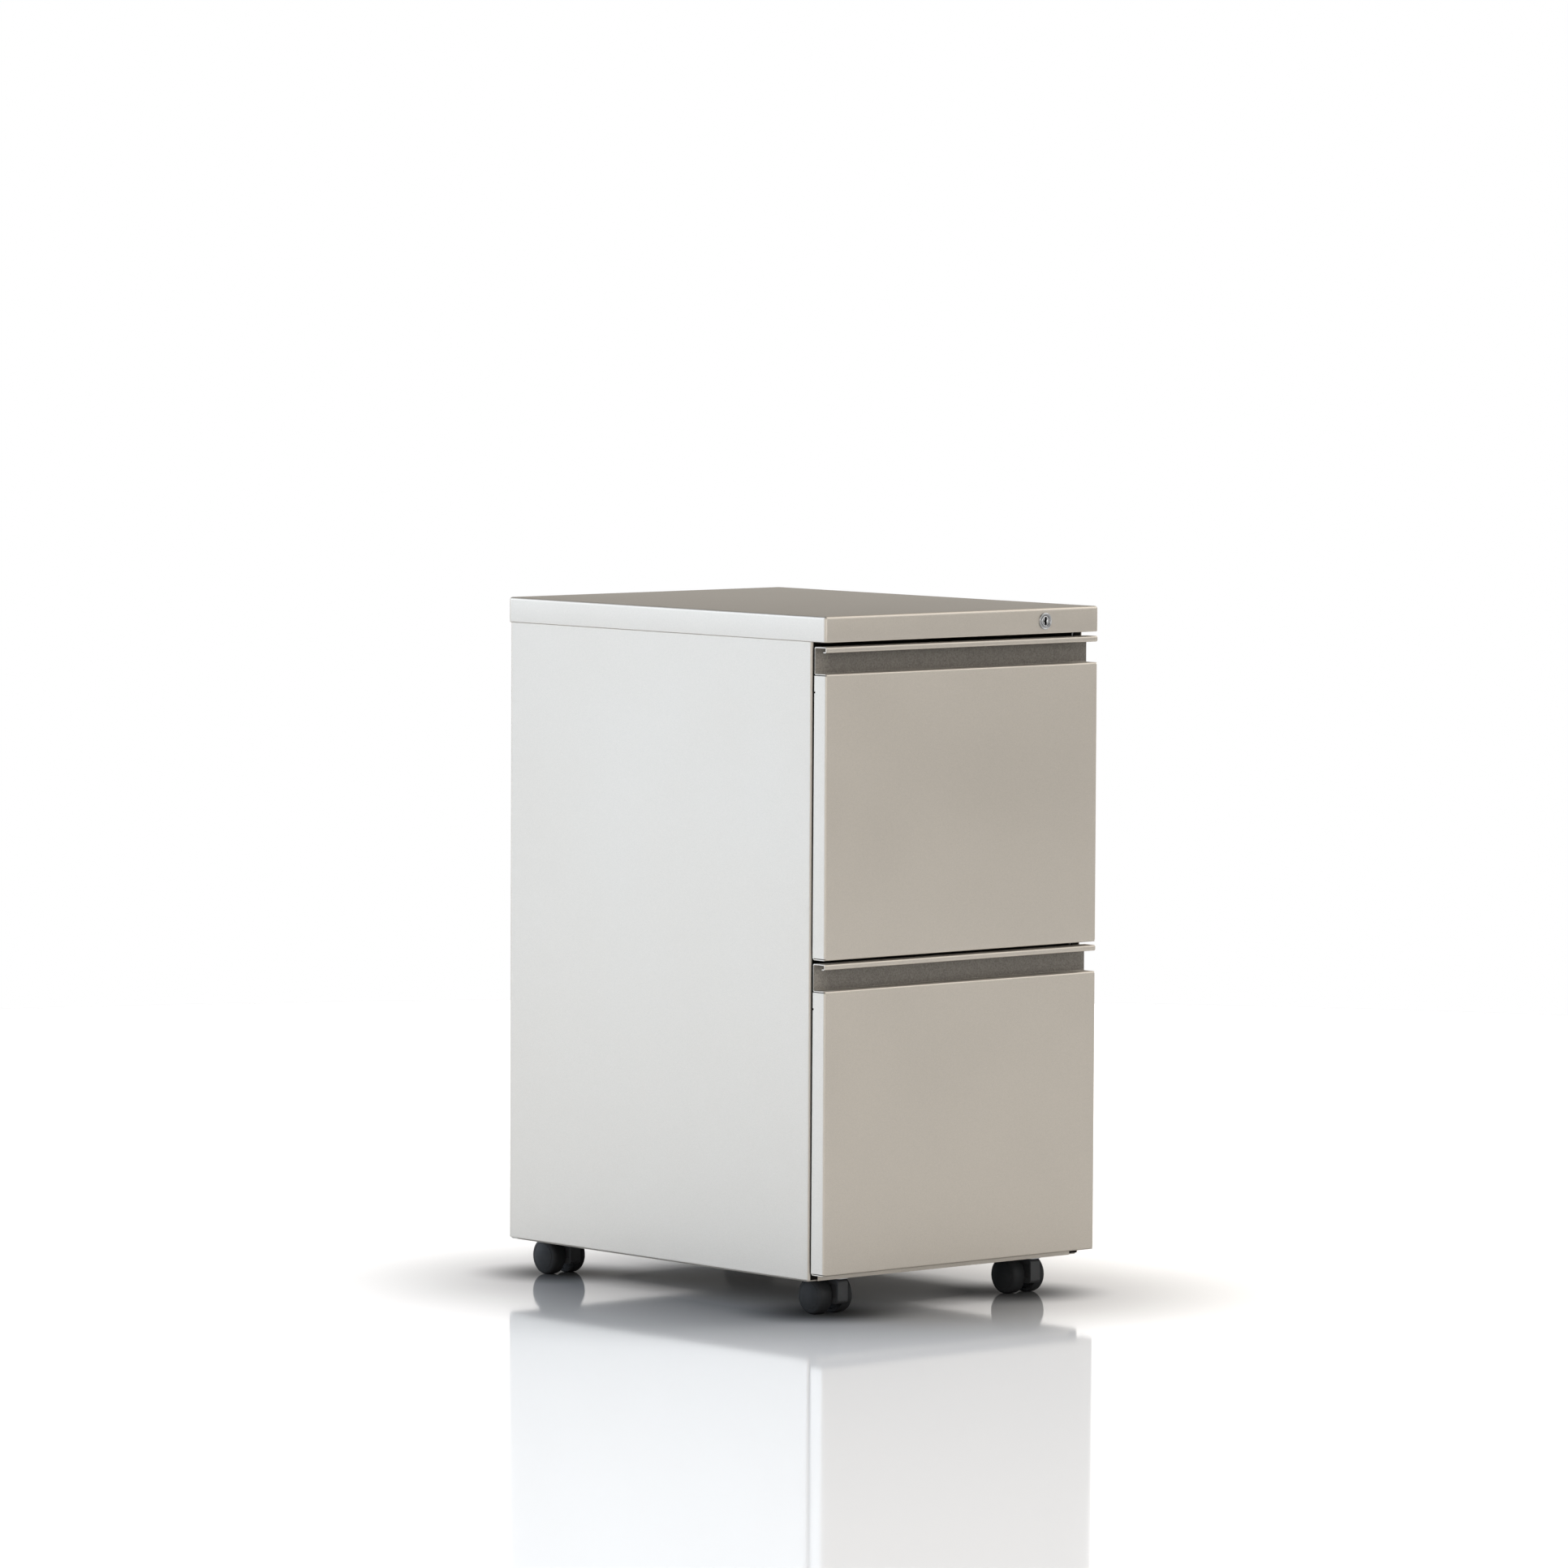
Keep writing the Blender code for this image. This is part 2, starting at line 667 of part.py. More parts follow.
def build_case(cabinet, stems):
    sides = {"left": -1, "right": 1}
    upright_starts = {"front": INNER_FRONT, "rear": FRONT + 0.44}
    put("top_cap", top_cap(), "paint", cabinet)
    put("back_panel", back_panel(), "paint", cabinet)
    put("bottom_pan", bottom_pan(stems), "inner_paint", cabinet)
    put("bottom_front_rail", bottom_front_rail(), "paint", cabinet)
    put("top_front_rail", top_front_rail(), "inner_paint", cabinet)
    put("counterweight", counterweight(), "iron", cabinet)
    for name, side in sides.items():
        put(f"{name}_side_panel", side_panel(side), "paint", cabinet)
        for end, start in upright_starts.items():
            put(f"{end}_{name}_upright", upright(side, start), "zinc", cabinet)


def build_lock(cabinet):
    lock_axis = (LOCK_X, FRONT, LOCK_Z)
    put("lock_housing", lock_housing(), "nickel", cabinet, lock_axis)
    cylinder_group = group("lock_cylinder_axis", lock_axis, cabinet)
    put("lock_plug", lock_plug(), "nickel", cylinder_group)
    put("lock_rod", lock_rod(), "zinc", cylinder_group)
    put("lock_bar", lock_bar(), "zinc", cabinet)
    put("lock_bar_guide", lock_bar_guide(), "zinc", cabinet)


def build_drawers(cabinet):
    """Two equal drawers. The second one shares the first one's meshes."""
    front, tub, catch = drawer_front(), drawer_tub(), drawer_catch()
    sides = {"left": -1, "right": 1}
    rails = {name: hanging_rail(side) for name, side in sides.items()}
    slides = {
        name: (slide_outer(side), slide_middle(side), slide_inner(side))
        for name, side in sides.items()
    }
    for level, bottom in DRAWER_BOTTOMS.items():
        drawer = group(f"{level}_drawer_axis", (0, FRONT, bottom), cabinet)
        put(f"{level}_drawer_front", front, "paint", drawer)
        put(f"{level}_drawer_tub", tub, "inner_paint", drawer)
        put(f"{level}_drawer_catch", catch, "zinc", drawer)
        for name in sides:
            outer, middle, inner = slides[name]
            start = (0, SLIDE_START - FRONT, SLIDE_LEVEL)
            put(f"{level}_{name}_hanging_rail", rails[name], "zinc", drawer)
            put(f"{level}_{name}_slide_inner", inner, "zinc", drawer, start)
            fixed = (0, SLIDE_START, bottom + SLIDE_LEVEL)
            put(f"{level}_{name}_slide_outer", outer, "zinc", cabinet, fixed)
            put(f"{level}_{name}_slide_middle", middle, "zinc", cabinet, fixed)


def build_casters(cabinet, stems):
    """Four equal casters, each on an empty on its stem's axis."""
    socket, body = caster_socket(), caster_body()
    axle = cylinder(AXLE_RADIUS, "X", -AXLE_HALF, AXLE_HALF, 12)
    wheels = {"left": caster_wheel(-1), "right": caster_wheel(1)}
    axle_place = (0, TRAIL, WHEEL_RADIUS)
    for corner, (x, y) in stems.items():
        put(f"{corner}_caster_socket", socket, "zinc", cabinet, (x, y, 0))
        swivel = group(f"{corner}_caster_axis", (x, y, 0), cabinet)
        put(f"{corner}_caster_body", body, "nylon", swivel)
        put(f"{corner}_caster_axle", axle, "axle_steel", swivel, axle_place)
        for name, wheel in wheels.items():
            put(f"{corner}_caster_{name}_wheel", wheel, "nylon", swivel, axle_place)


def main():
    clear_scene()
    stems = {
        f"{end}_{side}": (x, y)
        for end, y in (("front", FRONT + STEM_INSET), ("rear", BACK - STEM_INSET))
        for side, x in (("left", -STEM_X), ("right", STEM_X))
    }
    cabinet = group("cabinet_origin")
    build_case(cabinet, stems)
    build_lock(cabinet)
    build_drawers(cabinet)
    build_casters(cabinet, stems)


main()
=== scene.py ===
"""Looks of the two-drawer filing cabinet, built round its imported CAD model.

Metres, +Z up, in the CAD model's frame: the origin is on the floor under the
middle of the cabinet, the drawers face -Y, and +X is on the right of a person
who stands in front of it. Every new mesh is drawn in place, so its object sits
at the origin like the CAD nodes do.
"""

import json
import math

import bmesh
import bpy
from mathutils import Matrix, Vector


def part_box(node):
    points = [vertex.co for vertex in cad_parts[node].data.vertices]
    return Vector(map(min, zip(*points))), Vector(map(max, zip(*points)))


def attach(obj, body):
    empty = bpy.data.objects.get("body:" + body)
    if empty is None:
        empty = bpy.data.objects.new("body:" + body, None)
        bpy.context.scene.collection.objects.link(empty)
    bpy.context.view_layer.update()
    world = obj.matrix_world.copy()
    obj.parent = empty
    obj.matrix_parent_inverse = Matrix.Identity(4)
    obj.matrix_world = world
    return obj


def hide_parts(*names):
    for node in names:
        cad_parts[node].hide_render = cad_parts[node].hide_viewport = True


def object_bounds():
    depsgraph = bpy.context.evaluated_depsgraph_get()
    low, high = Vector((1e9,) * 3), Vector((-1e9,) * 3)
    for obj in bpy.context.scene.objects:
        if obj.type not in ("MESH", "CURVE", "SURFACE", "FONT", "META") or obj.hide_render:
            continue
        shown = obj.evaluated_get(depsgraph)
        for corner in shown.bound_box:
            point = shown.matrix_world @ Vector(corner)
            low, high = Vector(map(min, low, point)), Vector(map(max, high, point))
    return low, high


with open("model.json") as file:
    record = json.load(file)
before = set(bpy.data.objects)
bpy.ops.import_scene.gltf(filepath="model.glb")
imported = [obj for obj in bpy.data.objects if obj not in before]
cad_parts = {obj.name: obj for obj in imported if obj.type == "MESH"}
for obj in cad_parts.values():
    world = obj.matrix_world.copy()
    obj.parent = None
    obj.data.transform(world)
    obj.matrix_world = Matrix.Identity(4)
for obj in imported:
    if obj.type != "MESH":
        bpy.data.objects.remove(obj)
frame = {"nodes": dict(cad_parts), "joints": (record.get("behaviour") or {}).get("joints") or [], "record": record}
cad_low, cad_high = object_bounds()

SIDES = {"left": -1, "right": 1}
LEVELS = ("lower", "upper")
CORNERS = ("front_left", "front_right", "rear_left", "rear_right")

# Sheet metal
SHEET = 0.001
BEND = 0.0016  # outer radius of a fold
BEND_STEPS = 6
EDGE = 0.00022  # rounding of a cut edge

# Case
CAP_BEND = 0.003
CAP_EDGE = 0.00125  # outer radius of the cap's turned-in lower edge
CAP_RETURN = 0.015
LOCK_HOLE = 0.0081  # radius
SIDE_BEND = 0.0025
SWAGE_DEPTH = 0.0014
SWAGE_PLACE = 0.050  # from the middle of the back

# Drawer fronts, with heights from the top of the front down
LIP_HEIGHT = 0.0059
PULL_HEIGHT = 0.0276  # down to the top of the flat face
PULL_BEND = 0.0018  # outer radius of the front's folds
LIP_RETURN = 0.0046  # depth that the lip's lower edge turns back to
FOOT_RETURN = 0.012  # height of the upturned edge at the foot
HOOK_HEIGHT = 0.019  # from the top of the flat face down to the hook slot in each flange
FLANGE_FLARE = 0.0007  # how much deeper the side flanges are at the foot than at the top

# Slides
SLIDE_SHEET = 0.0012

# Casters, with heights above the floor
STEM_RADIUS = 0.0044
STEM_ROOT = 0.036  # where the stem ends inside the strut
STEM_HOLE = 0.006
STRUT_HALF = 0.0067  # half of the strut's width
STRUT_FRONT, STRUT_BACK = 0.0085, 0.0125  # from the stem's axis
STRUT_GAP, STRUT_TOP = 0.012, 0.0378
DISC_LOW, DISC_HIGH, DISC_RADIUS = 0.0380, 0.0393, 0.011

# Painted shade in the coat, as a share of its plain tone, chosen to match the object's look
LID_PAINTED_SHADE = 0.74  # painted shade on the cap's top
FOLD_PAINTED_SHADE = 0.015  # painted shade on the side panels' front folds, standing in for the shaded gap behind the drawer fronts
PULL_PAINTED_SHADE = 0.34  # painted shade at the back of a drawer's pull
PULL_END_PAINTED_SHADE = 0.50  # the same painted shade at the pull's left end
GRAZING_BLUR = 0.4  # how much rougher the coat looks almost edge on


# ---------------------------------------------------------------- node helpers


class Nodes:
    """A short way to write one material's node tree."""

    def __init__(self, tree):
        self.tree = tree

    def add(self, kind, inputs=(), **properties):
        """A shader node. Each input is a value, or a socket to link it to."""
        node = self.tree.nodes.new("ShaderNode" + kind)
        for name, value in properties.items():
            setattr(node, name, value)
        for name, value in dict(inputs).items():
            if isinstance(value, bpy.types.NodeSocket):
                self.link(value, node.inputs[name])
            else:
                node.inputs[name].default_value = value
        return node

    def link(self, source, target):
        self.tree.links.new(source, target)

    def math(self, operation, *values):
        return self.add("Math", enumerate(values), operation=operation).outputs[0]

    def plus(self, a, b):
        return self.math("ADD", a, b)

    def times(self, a, b):
        return self.math("MULTIPLY", a, b)

    def vector(self, operation, inputs, output="Vector"):
        return self.add("VectorMath", inputs, operation=operation).outputs[output]

    def place(self, scale=(1, 1, 1)):
        """Places on the piece in metres, stretched by a scale."""
        place = self.add("TexCoord").outputs["Object"]
        return self.add("Mapping", {"Vector": place, "Scale": scale}).outputs["Vector"]

    def axes(self):
        """The X, Y and Z of the place on the piece."""
        return self.add("SeparateXYZ", {"Vector": self.place()}).outputs

    def noise(self, vector, scale, detail=2.0, roughness=0.5):
        values = {"Vector": vector, "Scale": scale, "Detail": detail, "Roughness": roughness}
        return self.add("TexNoise", values).outputs["Fac"]

    def cells(self, vector, scale):
        """One random value for each small cell."""
        node = self.add("TexVoronoi", {"Vector": vector, "Scale": scale}, feature="F1")
        return self.add("SeparateColor", {"Color": node.outputs["Color"]}).outputs["Red"]

    def spread(self, value, low, high, first=0.0, last=1.0, ease="LINEAR"):
        """A value from first..last mapped to low..high."""
        values = {"Value": value, "From Min": first, "From Max": last}
        values.update({"To Min": low, "To Max": high})
        node = self.add("MapRange", values, clamp=True, interpolation_type=ease)
        return node.outputs["Result"]

    def tint(self, colour, brightness):
        """A colour made brighter or darker by a value near 1."""
        return self.vector("SCALE", {0: colour, "Scale": brightness})

    def blend(self, factor, a, b):
        """A mix of two colours. They are inputs 6 and 7 of the node."""
        values = {0: factor, 6: (*a, 1), 7: (*b, 1)}
        return self.add("Mix", values, data_type="RGBA").outputs[2]

    def bump(self, height, distance, strength, normal=None):
        values = {"Height": height, "Distance": distance, "Strength": strength}
        if normal is not None:
            values["Normal"] = normal
        return self.add("Bump", values).outputs["Normal"]


def new_material(name, metallic):
    """A material with an empty Principled shader, and its node writer."""
    material = bpy.data.materials.new(name)
    material.use_nodes = True
    shader = material.node_tree.nodes["Principled BSDF"]
    shader.inputs["Metallic"].default_value = metallic
    return material, shader, Nodes(material.node_tree)


# ---------------------------------------------------------------- materials


def paint(name, colour, metallic, roughness, pulls=(), fold=None, lid=None):
    """Metallic powder coat: fine flakes, a slight orange peel and a faint cloudiness.

    The coat gets painted shade inside the pulls, each a (low, high) box, on the side panels'
    front folds, at a (distance from the middle, front plane), and on a lid's top at a level.
    """
    material, shader, nodes = new_material(name, metallic)
    shader.inputs["Specular Tint"].default_value = (0.20, 0.18, 0.155, 1)
    shader.inputs["Specular IOR Level"].default_value = 0.25
    place = nodes.place()
    cloud = nodes.noise(place, 9, 3)
    grain = nodes.noise(place, 1300, 2)
    flake = nodes.cells(place, 2400)
    peel = nodes.noise(place, 420, 2)
    level = nodes.plus(nodes.spread(cloud, -0.012, 0.012, 0.3, 0.7), 1.0)
    level = nodes.plus(level, nodes.spread(grain, -0.045, 0.045, 0.25, 0.75))
    level = nodes.plus(level, nodes.spread(flake, -0.05, 0.05))
    # painted shade inside each pull
    for low, high in pulls:
        level = nodes.times(level, painted_pull_shade(nodes, low, high))
    # painted shade on the side panels' front folds
    if fold:
        level = nodes.times(level, painted_fold_shade(nodes, *fold))
    if lid:
        # painted shade on the cap's top
        lid_shade = nodes.spread(nodes.axes()["Z"], 1.0, LID_PAINTED_SHADE, lid - 0.0012, lid - 0.0001)
        level = nodes.times(level, lid_shade)
    nodes.link(nodes.tint(colour, level), shader.inputs["Base Color"])
    rough = nodes.plus(nodes.spread(cloud, -0.02, 0.02, 0.3, 0.7), roughness)
    rough = nodes.plus(rough, nodes.spread(grain, -0.05, 0.05, 0.25, 0.75))
    facing = nodes.add("LayerWeight").outputs["Facing"]
    rough = nodes.plus(rough, nodes.spread(facing, 0.0, GRAZING_BLUR, 0.80, 0.90))
    nodes.link(rough, shader.inputs["Roughness"])
    low_normal = nodes.bump(peel, 0.00006, 0.35)
    nodes.link(nodes.bump(grain, 0.000025, 0.5, low_normal), shader.inputs["Normal"])
    return material


def painted_fold_shade(nodes, inner, front):
    """The painted shade on the side panels' front folds, standing in for the shaded gap behind the drawer fronts:
    1 outside them.
    """
    x, y, z = nodes.axes()
    off_edge = nodes.spread(nodes.math("ABSOLUTE", x), 1, 0, inner - 0.0006, inner)
    near_front = nodes.spread(y, 1, 0, front + 0.004, front + 0.006)
    return nodes.spread(nodes.times(off_edge, near_front), 1.0, FOLD_PAINTED_SHADE)


def painted_pull_shade(nodes, low, high):
    """The painted shade inside a drawer's pull, speckled: 1 outside it, and darker towards its back."""
    x, y, z = nodes.axes()
    soft = 0.0006
    above = nodes.spread(z, 0, 1, low.z - soft, low.z + soft)
    below = nodes.spread(z, 1, 0, high.z - soft, high.z + soft)
    deep = nodes.spread(y, 0, 1, low.y + 0.004, low.y + 0.012)
    inside = nodes.times(nodes.times(above, below), deep)
    loss = nodes.spread(x, 1 - PULL_END_PAINTED_SHADE, 1 - PULL_PAINTED_SHADE, low.x + 0.004, low.x + 0.022)
    tone = nodes.math("SUBTRACT", 1.0, nodes.times(inside, loss))
    speckle = nodes.spread(nodes.noise(nodes.place(), 700, 3, 0.7), 0.72, 1.28, 0.3, 0.7)
    change = nodes.math("SUBTRACT", nodes.times(tone, speckle), tone)
    return nodes.plus(tone, nodes.times(change, inside))


def plated(name, colour, roughness, streak, tarnish):
    """Plated steel: fine rolling streaks along Y and a patchy passivated tone."""
    material, shader, nodes = new_material(name, 1.0)
    streaks = nodes.noise(nodes.place((1, 0.02, 1)), 2600, 3, 0.6)
    patches = nodes.noise(nodes.place(), 26, 4, 0.55)
    grain = nodes.noise(nodes.place(), 1900, 2)
    toned = nodes.blend(nodes.spread(patches, 0, 1, 0.38, 0.66), colour, tarnish)
    level = nodes.spread(streaks, 1 - streak, 1 + streak, 0.25, 0.75)
    nodes.link(nodes.tint(toned, level), shader.inputs["Base Color"])
    rough = nodes.plus(nodes.spread(patches, -0.05, 0.06, 0.35, 0.65), roughness)
    rough = nodes.plus(rough, nodes.spread(streaks, -0.05, 0.05, 0.3, 0.7))
    nodes.link(rough, shader.inputs["Roughness"])
    low_normal = nodes.bump(streaks, 0.000012, 0.6)
    nodes.link(nodes.bump(grain, 0.00001, 0.5, low_normal), shader.inputs["Normal"])
    return material


def moulded(name, colour, roughness, specular):
    """Moulded plastic: fine spark-eroded texture with smoother, rubbed patches."""
    material, shader, nodes = new_material(name, 0.0)
    texture = nodes.noise(nodes.place(), 2100, 2, 0.6)
    wear = nodes.noise(nodes.place(), 60, 4)
    shader.inputs["Specular IOR Level"].default_value = specular
    level = nodes.spread(wear, 0.88, 1.16, 0.3, 0.7)
    nodes.link(nodes.tint(colour, level), shader.inputs["Base Color"])
    rough = nodes.plus(nodes.spread(wear, 0.07, -0.06, 0.3, 0.7), roughness)
    nodes.link(rough, shader.inputs["Roughness"])
    nodes.link(nodes.bump(texture, 0.00003, 0.45), shader.inputs["Normal"])
    return material


def cast(name, colour, roughness):
    """Cast iron with a thin coat of primer: coarse sand texture and chalky high spots."""
    material, shader, nodes = new_material(name, 0.25)
    sand = nodes.noise(nodes.place(), 520, 4, 0.65)
    patches = nodes.noise(nodes.place(), 40, 3)
    uneven = nodes.spread(patches, 0.85, 1.15, 0.3, 0.7)
    level = nodes.times(nodes.spread(sand, 0.7, 1.35, 0.3, 0.7), uneven)
    nodes.link(nodes.tint(colour, level), shader.inputs["Base Color"])
    rough = nodes.plus(nodes.spread(sand, -0.08, 0.1, 0.3, 0.7), roughness)
    nodes.link(rough, shader.inputs["Roughness"])
    nodes.link(nodes.bump(sand, 0.00025, 0.7), shader.inputs["Normal"])
    return material


def pull_boxes():
    """The room inside each drawer's pull, up into its lip, which gets painted shade."""
    rooms = []
    for level in LEVELS:
        low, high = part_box(f"{level}_drawer_front")
        floor, roof = high.z - PULL_HEIGHT, high.z - LIP_HEIGHT + 0.004
        rooms.append((Vector((low.x, low.y, floor)), Vector((high.x, high.y, roof))))
    return rooms


def case_fold():
    """Where the side panels' front folds turn inwards, and their front plane, which bound the painted shade on the
    folds.
    """
    low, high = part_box("right_side_panel")
    return high.x - 0.0022, low.y


COAT = ((0.47, 0.43, 0.375), 0.72, 0.40)
MATERIALS = {
    "paint": paint("champagne_powder_coat", *COAT),
    # copy of the coat with painted shade inside the pulls
    "paint_with_pull_shade": paint("champagne_coat_with_painted_pull_shade", *COAT, pull_boxes()),
    # copy of the coat with painted shade on the side panels' front folds
    "paint_with_fold_shade": paint("champagne_coat_with_painted_fold_shade", *COAT, fold=case_fold()),
    # copy of the coat with painted shade on the cap's top
    "paint_with_lid_shade": paint("champagne_coat_with_painted_lid_shade", *COAT, lid=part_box("top_cap")[1].z),
    "inner_paint": paint("inner_powder_coat", (0.40, 0.37, 0.325), 0.55, 0.48),
    "zinc": plated("zinc_plate", (0.40, 0.405, 0.41), 0.34, 0.08, (0.36, 0.35, 0.32)),
    "nickel": plated("nickel_plate", (0.46, 0.46, 0.46), 0.17, 0.05, (0.38, 0.38, 0.375)),
    "iron": cast("primed_cast_iron", (0.075, 0.075, 0.08), 0.7),
    "nylon": moulded("black_nylon", (0.0235, 0.0240, 0.0245), 0.44, 0.08),
    "strut_nylon": moulded("black_glass_filled_nylon", (0.026, 0.0265, 0.0272), 0.5, 0.4),
    "axle_steel": plated("turned_steel", (0.55, 0.55, 0.56), 0.25, 0.05, (0.5, 0.49, 0.48)),
}


# ---------------------------------------------------------------- mesh helpers


def arc(middle, radius, first, last, steps):
    """Points on an arc, with its two ends in degrees."""
    turns = [math.radians(first + (last - first) * i / steps) for i in range(steps + 1)]
    return [(middle[0] + radius * math.cos(t), middle[1] + radius * math.sin(t)) for t in turns]


def left_of(direction):
    return Vector((-direction.y, direction.x))


def shifted(path, distance):
    """A path of straight runs moved to its left by a distance, with its corners kept sharp."""
    points = [Vector(point) for point in path]
    runs = [left_of((b - a).normalized()) for a, b in zip(points, points[1:])]
    sides = [runs[0]]
    sides += [(a + b) / (1 + a.dot(b)) for a, b in zip(runs, runs[1:])]
    sides.append(runs[-1])
    return [point + side * distance for point, side in zip(points, sides)]


def with_bends(path, radius, steps=BEND_STEPS):
    """(point, left side) pairs along a path whose corners are rounded."""
    path = [Vector(point) for point in path]
    samples = [(path[0], left_of((path[1] - path[0]).normalized()))]
    for before, corner, after in zip(path, path[1:], path[2:]):
        inward = (corner - before).normalized()
        outward = (after - corner).normalized()
        turn = math.atan2(inward.x * outward.y - inward.y * outward.x, inward.dot(outward))
        way = math.copysign(1, turn)
        start = corner - inward * radius * math.tan(abs(turn) / 2)
        middle = start + left_of(inward) * way * radius
        heading = math.atan2(inward.y, inward.x)
        for i in range(steps + 1):
            now = heading + turn * i / steps
            side = left_of(Vector((math.cos(now), math.sin(now))))
            samples.append((middle - side * way * radius, side))
    samples.append((path[-1], left_of((path[-1] - path[-2]).normalized())))
    return samples


def folded(skin, thickness=SHEET, radius=BEND - SHEET / 2):
    """The outline of a folded sheet. skin is one of its sides, and the metal lies to the left."""
    samples = with_bends(shifted(skin, thickness / 2), radius)
    near = [tuple(point - side * thickness / 2) for point, side in samples]
    far = [tuple(point + side * thickness / 2) for point, side in samples]
    return near + far[::-1]


def mirrored(outline, side):
    """An outline drawn for the right side, or its mirror image for the left."""
    return [(side * a, b) for a, b in outline]


def linked(name, data):
    """A new object in the scene."""
    obj = bpy.data.objects.new(name, data)
    bpy.context.scene.collection.objects.link(obj)
    return obj


def as_mesh(bm, name):
    """A mesh of a shape, which is freed."""
    mesh = bpy.data.meshes.new(name)
    bm.to_mesh(mesh)
    bm.free()
    return mesh


def cuboid(low, high):
    """A block between two corners, with sharp edges."""
    bm = bmesh.new()
    bmesh.ops.create_cube(bm, size=1)
    for vertex in bm.verts:
        for axis in range(3):
            vertex.co[axis] = high[axis] if vertex.co[axis] > 0 else low[axis]
    return bm


def bevelled(bm, edges, width, steps):
    bmesh.ops.bevel(bm, geom=edges, offset=width, segments=steps, affect="EDGES", profile=0.5)


def closed(bm):
    """Turns a closed mesh's faces outwards."""
    bmesh.ops.recalc_face_normals(bm, faces=bm.faces)
    if bm.calc_volume(signed=True) < 0:
        bmesh.ops.reverse_faces(bm, faces=bm.faces)
    return bm


def block(low, high, rounding=0.0, steps=3):
    """A block between two corners, with rounded edges."""
    bm = cuboid(low, high)
    if rounding:
        bevelled(bm, bm.edges[:], rounding, steps)
    return closed(bm)


def prism(outline, axis, start, end):
    """A flat outline drawn out along an axis. Its two values are the other axes in order."""

    def point(a, b, along):
        return {"X": (along, a, b), "Y": (a, along, b), "Z": (a, b, along)}[axis]

    bm = bmesh.new()
    near = [bm.verts.new(point(a, b, start)) for a, b in outline]
    far = [bm.verts.new(point(a, b, end)) for a, b in outline]
    bm.faces.new(near)
    bm.faces.new(far[::-1])
    for i, first in enumerate(near):
        after = (i + 1) % len(near)
        bm.faces.new((first, far[i], far[after], near[after]))
    return closed(bm)


def turned(profile, axis, middle=(0, 0, 0), sides=64):
    """A profile of (radius, place along the axis) points turned once round an axis."""
    bm = bmesh.new()
    rings = []
    for radius, along in profile:
        if radius < 1e-7:
            rings.append([bm.verts.new((0, 0, along))])
            continue
        turns = [math.tau * i / sides for i in range(sides)]
        ring = [(radius * math.cos(t), radius * math.sin(t), along) for t in turns]
        rings.append([bm.verts.new(point) for point in ring])
    pairs = list(zip(rings, rings[1:]))
    if profile[0][0] > 1e-7:
        pairs.append((rings[-1], rings[0]))
    for near, far in pairs:
        for i in range(sides):
            after = (i + 1) % sides
            corners = [near[i % len(near)], near[after % len(near)]]
            corners += [far[after % len(far)], far[i % len(far)]]
            bm.faces.new(list(dict.fromkeys(corners)))
    for vertex in bm.verts:
        x, y, z = vertex.co
        vertex.co = Vector(middle) + Vector({"X": (z, x, y), "Y": (y, z, x), "Z": (x, y, z)}[axis])
    return closed(bm)


def rod(radius, axis, start, end, middle=(0, 0), sides=32):
    """A plain round bar as a mesh, to join or to cut with."""
    ring = arc(middle, radius, 0, 360 - 360 / sides, sides - 1)
    return prism(ring, axis, start, end)


def tray(low, high, open_sides, radius=BEND, thickness=SHEET, steps=BEND_STEPS):
    """A folded sheet box between two corners with some sides left out, such as "+Z -X"."""
    bm = cuboid(low, high)
    bm.normal_update()
    names = {
        ("+" if face.normal[axis] > 0 else "-") + "XYZ"[axis]: face
        for face in bm.faces
        for axis in range(3)
        if abs(face.normal[axis]) > 0.5
    }
    gone = [names[name] for name in open_sides.split()]
    bmesh.ops.delete(bm, geom=gone, context="FACES")
    folds = [edge for edge in bm.edges if len(edge.link_faces) == 2]
    bevelled(bm, folds, radius, steps)
    return thickened(bm, thickness)


def thickened(bm, thickness=SHEET, offset=-1):
    """Sheet metal from a surface, to its inner side or, with offset 0, to both."""
    bm.normal_update()
    mesh = as_mesh(bm, "sheet")
    return modified(mesh, "SOLIDIFY", thickness=thickness, offset=offset, use_even_offset=True)


def modified(mesh, kind, **values):
    """A bmesh of a mesh with one modifier applied."""
    holder = linked("holder", mesh)
    modifier = holder.modifiers.new(kind, kind)
    for name, value in values.items():
        setattr(modifier, name, value)
    bpy.context.view_layer.update()
    graph = bpy.context.evaluated_depsgraph_get()
    result = bpy.data.meshes.new_from_object(holder.evaluated_get(graph))
    bm = bmesh.new()
    bm.from_mesh(result)
    bpy.data.objects.remove(holder)
    bpy.data.meshes.remove(result)
    return bm


def boolean(bm, tool, operation="DIFFERENCE"):
    """A shape with a tool cut from it, or joined to it."""
    mesh = as_mesh(bm, "shape")
    helper = linked("tool", as_mesh(tool, "tool"))
    result = modified(mesh, "BOOLEAN", object=helper, operation=operation, solver="EXACT")
    bpy.data.objects.remove(helper)
    return result


def merged(*shapes):
    """Several shapes as one mesh."""
    whole = bmesh.new()
    for shape in shapes:
        mesh = as_mesh(shape, "part")
        whole.from_mesh(mesh)
        bpy.data.meshes.remove(mesh)
    return whole


def copies(shape, places):
    """Copies of a small shape that faces +Z, each at a (point, direction it faces), as one mesh."""
    mesh = as_mesh(shape, "small")
    whole = bmesh.new()
    for point, faces in places:
        start = len(whole.verts)
        whole.from_mesh(mesh)
        whole.verts.ensure_lookup_table()
        turn = Vector(faces).to_track_quat("Z", "Y").to_matrix()
        for vertex in whole.verts[start:]:
            vertex.co = Vector(point) + turn @ vertex.co
    bpy.data.meshes.remove(mesh)
    return whole


